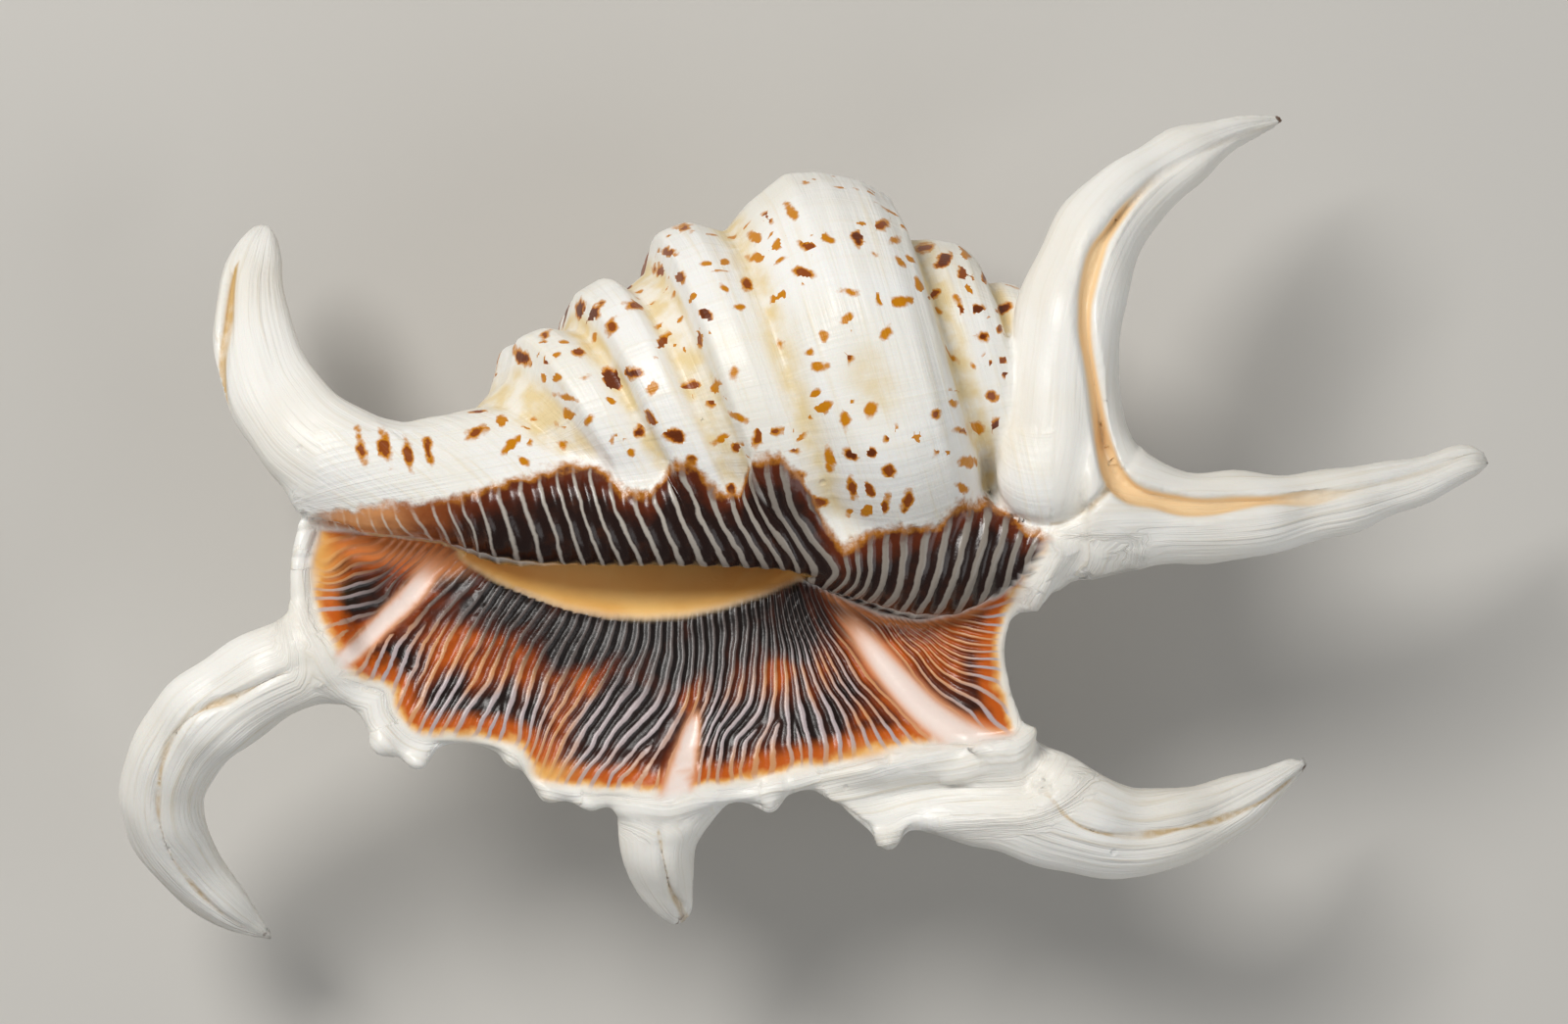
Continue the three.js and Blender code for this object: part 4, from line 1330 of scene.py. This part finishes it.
def makeRibBands():
    # pale ribs on a dark ground, from a rib number that grows by one a rib
    tree, given, out = startGroup(
        "ribBands",
        {"Number": 0.0, "Split": 0.0, "Share": 0.45, "Soft": 0.12},
        {"Rib": "Float", "Height": "Float"},
    )
    wobble = times(tree, calc(tree, "SUBTRACT", speckle(tree, 1.8, 3), 0.5), 0.22)
    angle = times(tree, calc(tree, "ADD", given["Number"], wobble), tau)
    once = calc(tree, "MULTIPLY_ADD", calc(tree, "COSINE", angle), 0.5, 0.5)
    twice = calc(tree, "MULTIPLY_ADD", calc(tree, "COSINE", times(tree, angle, 2.0)), 0.5, 0.5)
    wave = between(tree, given["Split"], once, twice)
    level = calc(tree, "SUBTRACT", 1.0, given["Share"])
    low = calc(tree, "SUBTRACT", level, given["Soft"])
    high = calc(tree, "ADD", level, given["Soft"])
    put(tree, out["Rib"], ramp(tree, wave, low, high))
    put(tree, out["Height"], wave)
    return tree


def makeSpotInk():
    # ragged blots from the way to the middle of the nearest one, with its radius
    tree, given, out = startGroup(
        "spotInk",
        {"One": 4.0, "Other": 4.0, "Radius": -3.0, "Tone": 0.5, "Ragged": 0.9},
        {"Mask": "Float", "Core": "Float"},
    )
    square = times(tree, given["One"], given["One"])
    square = calc(tree, "MULTIPLY_ADD", given["Other"], given["Other"], square)
    inside = calc(tree, "SUBTRACT", given["Radius"], calc(tree, "SQRT", square))
    ragged = calc(tree, "SUBTRACT", speckle(tree, 1.7, 3), 0.5)
    edge = calc(tree, "MULTIPLY_ADD", ragged, times(tree, given["Ragged"], 3.0), inside)
    put(tree, out["Mask"], ramp(tree, edge, -0.42, 0.05))
    put(tree, out["Core"], times(tree, ramp(tree, edge, -0.08, 0.26), given["Tone"]))
    return tree


def makeGrowthLines():
    # fine lines that run along the shell's growth, spaced across it
    tree, given, out = startGroup(
        "growthLines",
        {"Across": 0.0, "Along": 0.0, "Spacing": 1.0, "Length": 14.0},
        {"Line": "Float", "Height": "Float"},
    )
    place = tree.nodes.new("ShaderNodeCombineXYZ")
    put(tree, place.inputs[0], calc(tree, "DIVIDE", given["Across"], given["Spacing"]))
    put(tree, place.inputs[1], calc(tree, "DIVIDE", given["Along"], given["Length"]))
    lines = speckle(tree, 1.0, 3, place.outputs[0], 0.6)
    put(tree, out["Line"], ramp(tree, lines, 0.5, 0.72))
    put(tree, out["Height"], lines)
    return tree


wearSizes = {"clouds": 14, "pits": 6.0, "pitted": 9, "grain": 0.5}      # in millimetres
wearHeights = {"Grain": 0.025, "Pit": -0.12}


def makeShellWear():
    # chalky clouds, pinprick pits and fine grain
    tree, given, out = startGroup(
        "shellWear",
        {"Pits": 1.0},
        {"Cloud": "Float", "Pit": "Float", "Grain": "Float"},
    )
    put(tree, out["Cloud"], ramp(tree, speckle(tree, wearSizes["clouds"], 4), 0.35, 0.68))
    cells = tree.nodes.new("ShaderNodeTexVoronoi")
    cells.inputs["Scale"].default_value = 1000 / wearSizes["pits"]
    tree.links.new(tree.nodes.new("ShaderNodeTexCoord").outputs["Object"], cells.inputs["Vector"])
    near = ramp(tree, cells.outputs["Distance"], 0.1, 0.03)
    some = ramp(tree, speckle(tree, wearSizes["pitted"], 2), 0.52, 0.6)
    put(tree, out["Pit"], times(tree, near, some, given["Pits"]))
    put(tree, out["Grain"], speckle(tree, wearSizes["grain"], 3))
    return tree


ribBands = makeRibBands()
spotInk = makeSpotInk()
growthLines = makeGrowthLines()
shellWear = makeShellWear()


# the finishes. Colours are as seen in plain daylight, except the painted light and shade noted below,
# heights in millimetres

whorlFinish = {
    "white": colour("f6f5f1"),
    "cloud": colour("efeadc"),
    "cream": colour("e6cf9a"),
    "ochre": colour("cc8200"),
    "brown": colour("8e4408"),
    "ink": colour("5a2405"),
    "clouds": 0.6,      # how strongly each is laid over the white
    "threads": 0.22,
    "rings": 0.1,
    "threadHeight": 0.18,
    "ringHeight": 0.16,
    "ragged": 0.6,
    "roughness": 0.34,
}
fingerFinish = {
    "white": colour("f4f2ec"),
    "streak": colour("cdb98c"),
    "seam": colour("c39c52"),
    "peach": colour("f3d3a4"),
    "tip": colour("6b4a32"),
    "lines": 0.34,
    "clouds": 0.14,
    "lineHeight": 0.36,
}
lipFinish = {
    "orange": colour("c65c12"),
    "paleOrange": colour("e48d4e"),
    "deepOrange": colour("98400a"),
    "brown": colour("6b2a0c"),
    "dark": colour("1c0e09"),
    # painted shade: this darkest colour is laid on the ground towards the slot
    "slotShade": colour("171210"),
    "rib": colour("c3b4b5"),
    # painted shade: the ribs turn this dark towards the slot
    "ribSlotShade": colour("4e4642"),
    "ribOrange": colour("dd9f6c"),
    "gutter": colour("f6e4da"),
    "gutterBlush": colour("e8a77c"),
    "rim": colour("f5ead8"),
    "rimYellow": colour("f2b765"),
    "ribShare": (0.08, 0.26),      # of their spacing, at the slot and out at the margin
    "ribHeight": 0.14,
    "roughness": 0.28,
}
callusFinish = {
    "dark": colour("23110b"),
    "red": colour("5c240a"),
    "ochre": colour("b87422"),
    "rib": colour("c4bcb1"),
    "ribWide": colour("8f867c"),
    "end": colour("dd9a63"),
    "endBrown": colour("8f4a20"),
    "endRib": colour("f2dfc8"),
    "ribHeight": 0.14,
    "roughness": 0.2,
}
# the slot's inside: all three colours are set lighter than its own colour to offset the slot's shade, and
# pale is painted light laid on more deeply down the slot
insideFinish = {"tan": colour("fbca78"), "deep": colour("f0b862"), "pale": colour("ffe3a2")}
glaze = {
    "Specular IOR Level": 0.36,
    "Subsurface Weight": 0.06,
    "Subsurface Radius": (1.0, 0.6, 0.4),
    "Subsurface Scale": 0.0015,
    "Coat Weight": 0.06,
    "Coat Roughness": 0.12,
}


def whorlColour(tree, wear):
    f = whorlFinish
    line = field(tree, "whorlLine")
    turn = field(tree, "whorlTurn")
    rings = useGroup(tree, growthLines, Across=turn, Along=line, Spacing=1.5, Length=40.0)
    threads = useGroup(tree, growthLines, Across=line, Along=turn, Spacing=0.95, Length=26.0)
    valley = ramp(tree, field(tree, "valley"), -0.1, 0.75)
    paint = blend(tree, times(tree, wear["Cloud"], f["clouds"]), f["white"], f["cloud"])
    patchy = times(tree, valley, ramp(tree, speckle(tree, 4, 4), 0.34, 0.62, 0.25, 0.95))
    threaded = times(tree, threads["Line"], f["threads"])
    ringed = times(tree, rings["Line"], f["rings"])
    paint = layers(tree, paint, (patchy, f["cream"]), (threaded, f["cream"]), (ringed, f["cream"]))
    height = times(tree, threads["Height"], f["threadHeight"])
    return paint, calc(tree, "MULTIPLY_ADD", rings["Height"], f["ringHeight"], height)


def inkSpots(tree, paint):
    f = whorlFinish
    one = field(tree, "spotOne")
    other = field(tree, "spotOther")
    size = field(tree, "spotSize")
    tone = field(tree, "spotDark")
    ink = useGroup(tree, spotInk, One=one, Other=other, Radius=size, Tone=tone, Ragged=f["ragged"])
    return layers(
        tree, paint,
        (ink["Mask"], f["ochre"]),
        (ramp(tree, ink["Core"], 0.15, 0.5), f["brown"]),
        (ramp(tree, ink["Core"], 0.7, 1.0, 0.0, 0.8), f["ink"]),
    )


def fingerColour(tree, wear):
    f = fingerFinish
    strand = field(tree, "strand")
    along = field(tree, "fingerAlong")
    lines = useGroup(tree, growthLines, Across=strand, Along=along, Spacing=1.0, Length=30.0)
    lined = field(tree, "lined")
    seam = field(tree, "seam")
    broken = times(tree, ramp(tree, speckle(tree, 5, 3), 0.34, 0.6, 0.3, 1.0), field(tree, "seamTint"))
    paint = layers(
        tree, f["white"],
        (times(tree, lines["Line"], lined, f["lines"]), f["streak"]),
        (times(tree, wear["Cloud"], f["clouds"]), f["streak"]),
        (times(tree, ramp(tree, seam, 0.35, -0.1), broken), f["seam"]),
        (times(tree, ramp(tree, seam, 0.5, -0.05), field(tree, "peach")), f["peach"]),
        (times(tree, field(tree, "tip"), ramp(tree, speckle(tree, 1.4, 3), 0.55, 0.62)), f["tip"]),
    )
    return paint, times(tree, lines["Height"], lined, f["lineHeight"])


def lipColour(tree):
    f = lipFinish
    number = field(tree, "lipRib")
    margin = field(tree, "margin")
    fringe = field(tree, "fringe")
    share = ramp(tree, fringe, 0.5, 12.0, *f["ribShare"])
    share = calc(tree, "MULTIPLY_ADD", field(tree, "far"), -0.06, share)
    bands = useGroup(tree, ribBands, Number=number, Split=field(tree, "lipSplit"), Share=share, Soft=0.15)
    # dark cloud, streaked along the ribs, with painted shade that deepens it beside the slot
    clouds = speckle(tree, 5, 3)
    streak = tree.nodes.new("ShaderNodeCombineXYZ")
    put(tree, streak.inputs[0], times(tree, number, 0.55))
    put(tree, streak.inputs[1], times(tree, fringe, 0.13))
    streaks = calc(tree, "SUBTRACT", speckle(tree, 1.0, 3, streak.outputs[0]), 0.5)
    dark = calc(tree, "MULTIPLY_ADD", streaks, 2.4, field(tree, "dark"))
    dark = calc(tree, "ADD", clouds, calc(tree, "SUBTRACT", dark, 0.5))
    # near is painted shade: it darkens the ground and greys the ribs towards the slot
    near = ramp(tree, fringe, 13.5, 6.5)
    dark = calc(tree, "MULTIPLY_ADD", near, 0.15, dark)
    darkest = ramp(tree, dark, -0.15, 1.0)
    ridge = layers(tree, f["ribOrange"], (darkest, f["rib"]), (times(tree, near, 0.92), f["ribSlotShade"]))
    ribbed = field(tree, "ribbed")
    rough = calc(tree, "MULTIPLY_ADD", speckle(tree, 3, 3), 2.6, calc(tree, "SUBTRACT", margin, 1.3))
    gutter = field(tree, "gutter")
    smooth = blend(tree, ramp(tree, gutter, 1.0, 0.35), f["gutter"], f["gutterBlush"])
    paint = layers(
        tree, f["orange"],
        (ramp(tree, clouds, 0.35, 0.65), f["deepOrange"]),
        (ramp(tree, dark, -0.5, 0.4), f["brown"]),
        (darkest, blend(tree, times(tree, near, 0.75), f["dark"], f["slotShade"])),
        (ramp(tree, ribbed, 0.95, 0.3, 0.0, 0.85), f["paleOrange"]),
        (ramp(tree, rough, 4.2, 1.8), f["orange"]),      # the hems of the margin
        (ramp(tree, rough, 1.6, 0.5), f["rimYellow"]),
        (times(tree, bands["Rib"], ribbed), ridge),
        (ramp(tree, rough, 1.0, -0.2), f["rim"]),
        (times(tree, field(tree, "blush"), 0.8), f["rimYellow"]),
        (ramp(tree, gutter, 0.0, 0.7), smooth),
    )
    height = times(tree, bands["Height"], ramp(tree, margin, 0.3, 3.0, 0.0, f["ribHeight"]))
    return paint, times(tree, height, ramp(tree, gutter, 0.6, 0.1))


def callusColour(tree):
    f = callusFinish
    top = calc(tree, "MULTIPLY_ADD", speckle(tree, 2.6, 4, rough=0.6), 4.0, field(tree, "callusTop"))
    top = calc(tree, "SUBTRACT", top, 2.0)
    end = field(tree, "callusEnd")
    number = field(tree, "callusRib")
    split = field(tree, "callusSplit")
    wide = field(tree, "callusWide")
    share = calc(tree, "MULTIPLY_ADD", wide, 0.25, 0.06)
    bands = useGroup(tree, ribBands, Number=number, Split=split, Share=share, Soft=0.12)
    blotch = calc(tree, "MULTIPLY_ADD", speckle(tree, 3.5, 3), 0.5, calc(tree, "SUBTRACT", end, 0.25))
    ground = layers(
        tree, f["dark"],
        (ramp(tree, top, 4.6, 1.2), f["red"]),
        (ramp(tree, top, 1.3, 0.1), f["ochre"]),
        (ramp(tree, blotch, 1.0, 0.5), f["endBrown"]),
        (ramp(tree, blotch, 0.65, 0.15), f["end"]),
    )
    ridge = layers(
        tree, f["rib"],
        (wide, f["ribWide"]),
        (ramp(tree, end, 0.8, 0.1), f["endRib"]),
        (ramp(tree, top, 2.2, 0.3, 0.0, 0.85), ground),
    )
    paint = blend(tree, bands["Rib"], ground, ridge)
    cover = times(tree, ramp(tree, top, -0.9, 0.5), field(tree, "callus"))
    return paint, cover, times(tree, bands["Height"], f["ribHeight"])


def insideColour(tree):
    f = insideFinish
    # tan clouds, turned pale deeper down as painted light
    paint = blend(tree, ramp(tree, speckle(tree, 9, 3), 0.35, 0.65), f["tan"], f["deep"])
    return blend(tree, field(tree, "depth"), paint, f["pale"])


def makeShellMaterial():
    material = bpy.data.materials.new("conchShell")
    material.use_nodes = True
    tree = material.node_tree
    shader = tree.nodes["Principled BSDF"]
    wear = useGroup(tree, shellWear, Pits=1.0)
    paint, height = whorlColour(tree, wear)

    # each finish is laid over the one before where its own mask says
    finger = field(tree, "finger")
    horn, hornHeight = fingerColour(tree, wear)
    paint = inkSpots(tree, blend(tree, finger, paint, horn))
    height = between(tree, finger, height, hornHeight)

    face = field(tree, "lip")
    enamel, enamelHeight = lipColour(tree)
    callus, cover, callusHeight = callusColour(tree)
    inside = field(tree, "inside")
    paint = layers(tree, paint, (face, enamel), (cover, callus), (inside, insideColour(tree)))
    height = between(tree, face, height, enamelHeight)
    height = between(tree, cover, height, callusHeight)
    height = between(tree, inside, height, 0.0)
    rough = between(tree, face, whorlFinish["roughness"], lipFinish["roughness"])
    rough = between(tree, cover, rough, callusFinish["roughness"])
    rough = calc(tree, "MULTIPLY_ADD", wear["Cloud"], 0.08, rough)
    for name, high in wearHeights.items():
        height = calc(tree, "MULTIPLY_ADD", wear[name], high, height)

    bump = tree.nodes.new("ShaderNodeBump")
    bump.inputs["Strength"].default_value = 1.0
    bump.inputs["Distance"].default_value = millimetre
    put(tree, bump.inputs["Height"], height)
    put(tree, shader.inputs["Normal"], bump.outputs[0])
    put(tree, shader.inputs["Base Color"], paint)
    put(tree, shader.inputs["Roughness"], rough)
    for label, value in glaze.items():
        shader.inputs[label].default_value = value
    return material


shell = makeShell()
shell.data.materials.append(makeShellMaterial())
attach(shell, "root")
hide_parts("shell")
print("made the shell")


# table, lamps and camera

studio = {
    "tableColour": colour("c9c6c0"),
    "tableSize": 3.0,
    "cameraPlace": (-0.0028, 0.0019, 1.156),
    "lens": 200,
    "sensor": 36,
    "keyPlace": (-0.42, 0.45, 0.8),
    "keySize": 0.42,
    "keyPower": 7.6,
    "keyTint": (1, 0.985, 0.96),
    "fillPlace": (0.6, -0.35, 0.6),
    "fillSize": 0.7,
    "fillPower": 2.1,
    "fillTint": (0.96, 0.98, 1),
    "skyTint": (0.95, 0.97, 1, 1),
    "skyStrength": 0.2,
    "aim": (0, 0, 0.03),      # both lamps look here
}


def makeTable():
    half = studio["tableSize"] / 2
    corners = [(-half, -half, 0), (half, -half, 0), (half, half, 0), (-half, half, 0)]
    mesh = bpy.data.meshes.new("tableTop")
    mesh.from_pydata(corners, [], [(0, 1, 2, 3)])
    table = bpy.data.objects.new("tableTop", mesh)
    bpy.context.scene.collection.objects.link(table)
    material = bpy.data.materials.new("matteTable")
    material.use_nodes = True
    shader = material.node_tree.nodes["Principled BSDF"]
    shader.inputs["Base Color"].default_value = studio["tableColour"]
    shader.inputs["Roughness"].default_value = 0.8
    mesh.materials.append(material)


def softbox(name):
    lamp = bpy.data.lights.new(name + "Box", "AREA")
    lamp.shape = "DISK"
    lamp.size = studio[name + "Size"]
    lamp.energy = studio[name + "Power"]
    lamp.color = studio[name + "Tint"]
    holder = bpy.data.objects.new(name + "Box", lamp)
    holder.location = studio[name + "Place"]
    holder.rotation_euler = (Vector(studio["aim"]) - holder.location).to_track_quat("-Z", "Y").to_euler()
    bpy.context.scene.collection.objects.link(holder)


makeTable()
softbox("key")
softbox("fill")
world = bpy.data.worlds.new("studioSky")
bpy.context.scene.world = world
world.use_nodes = True
sky = world.node_tree.nodes["Background"]
sky.inputs["Color"].default_value = studio["skyTint"]
sky.inputs["Strength"].default_value = studio["skyStrength"]
bpy.context.scene.view_settings.view_transform = "Standard"

camera = bpy.data.cameras.new("camera")
camera.lens = studio["lens"]
camera.sensor_width = studio["sensor"]
eye = bpy.data.objects.new("camera", camera)
eye.location = studio["cameraPlace"]
bpy.context.scene.collection.objects.link(eye)
bpy.context.scene.camera = eye
print("set up the table, lamps and camera")
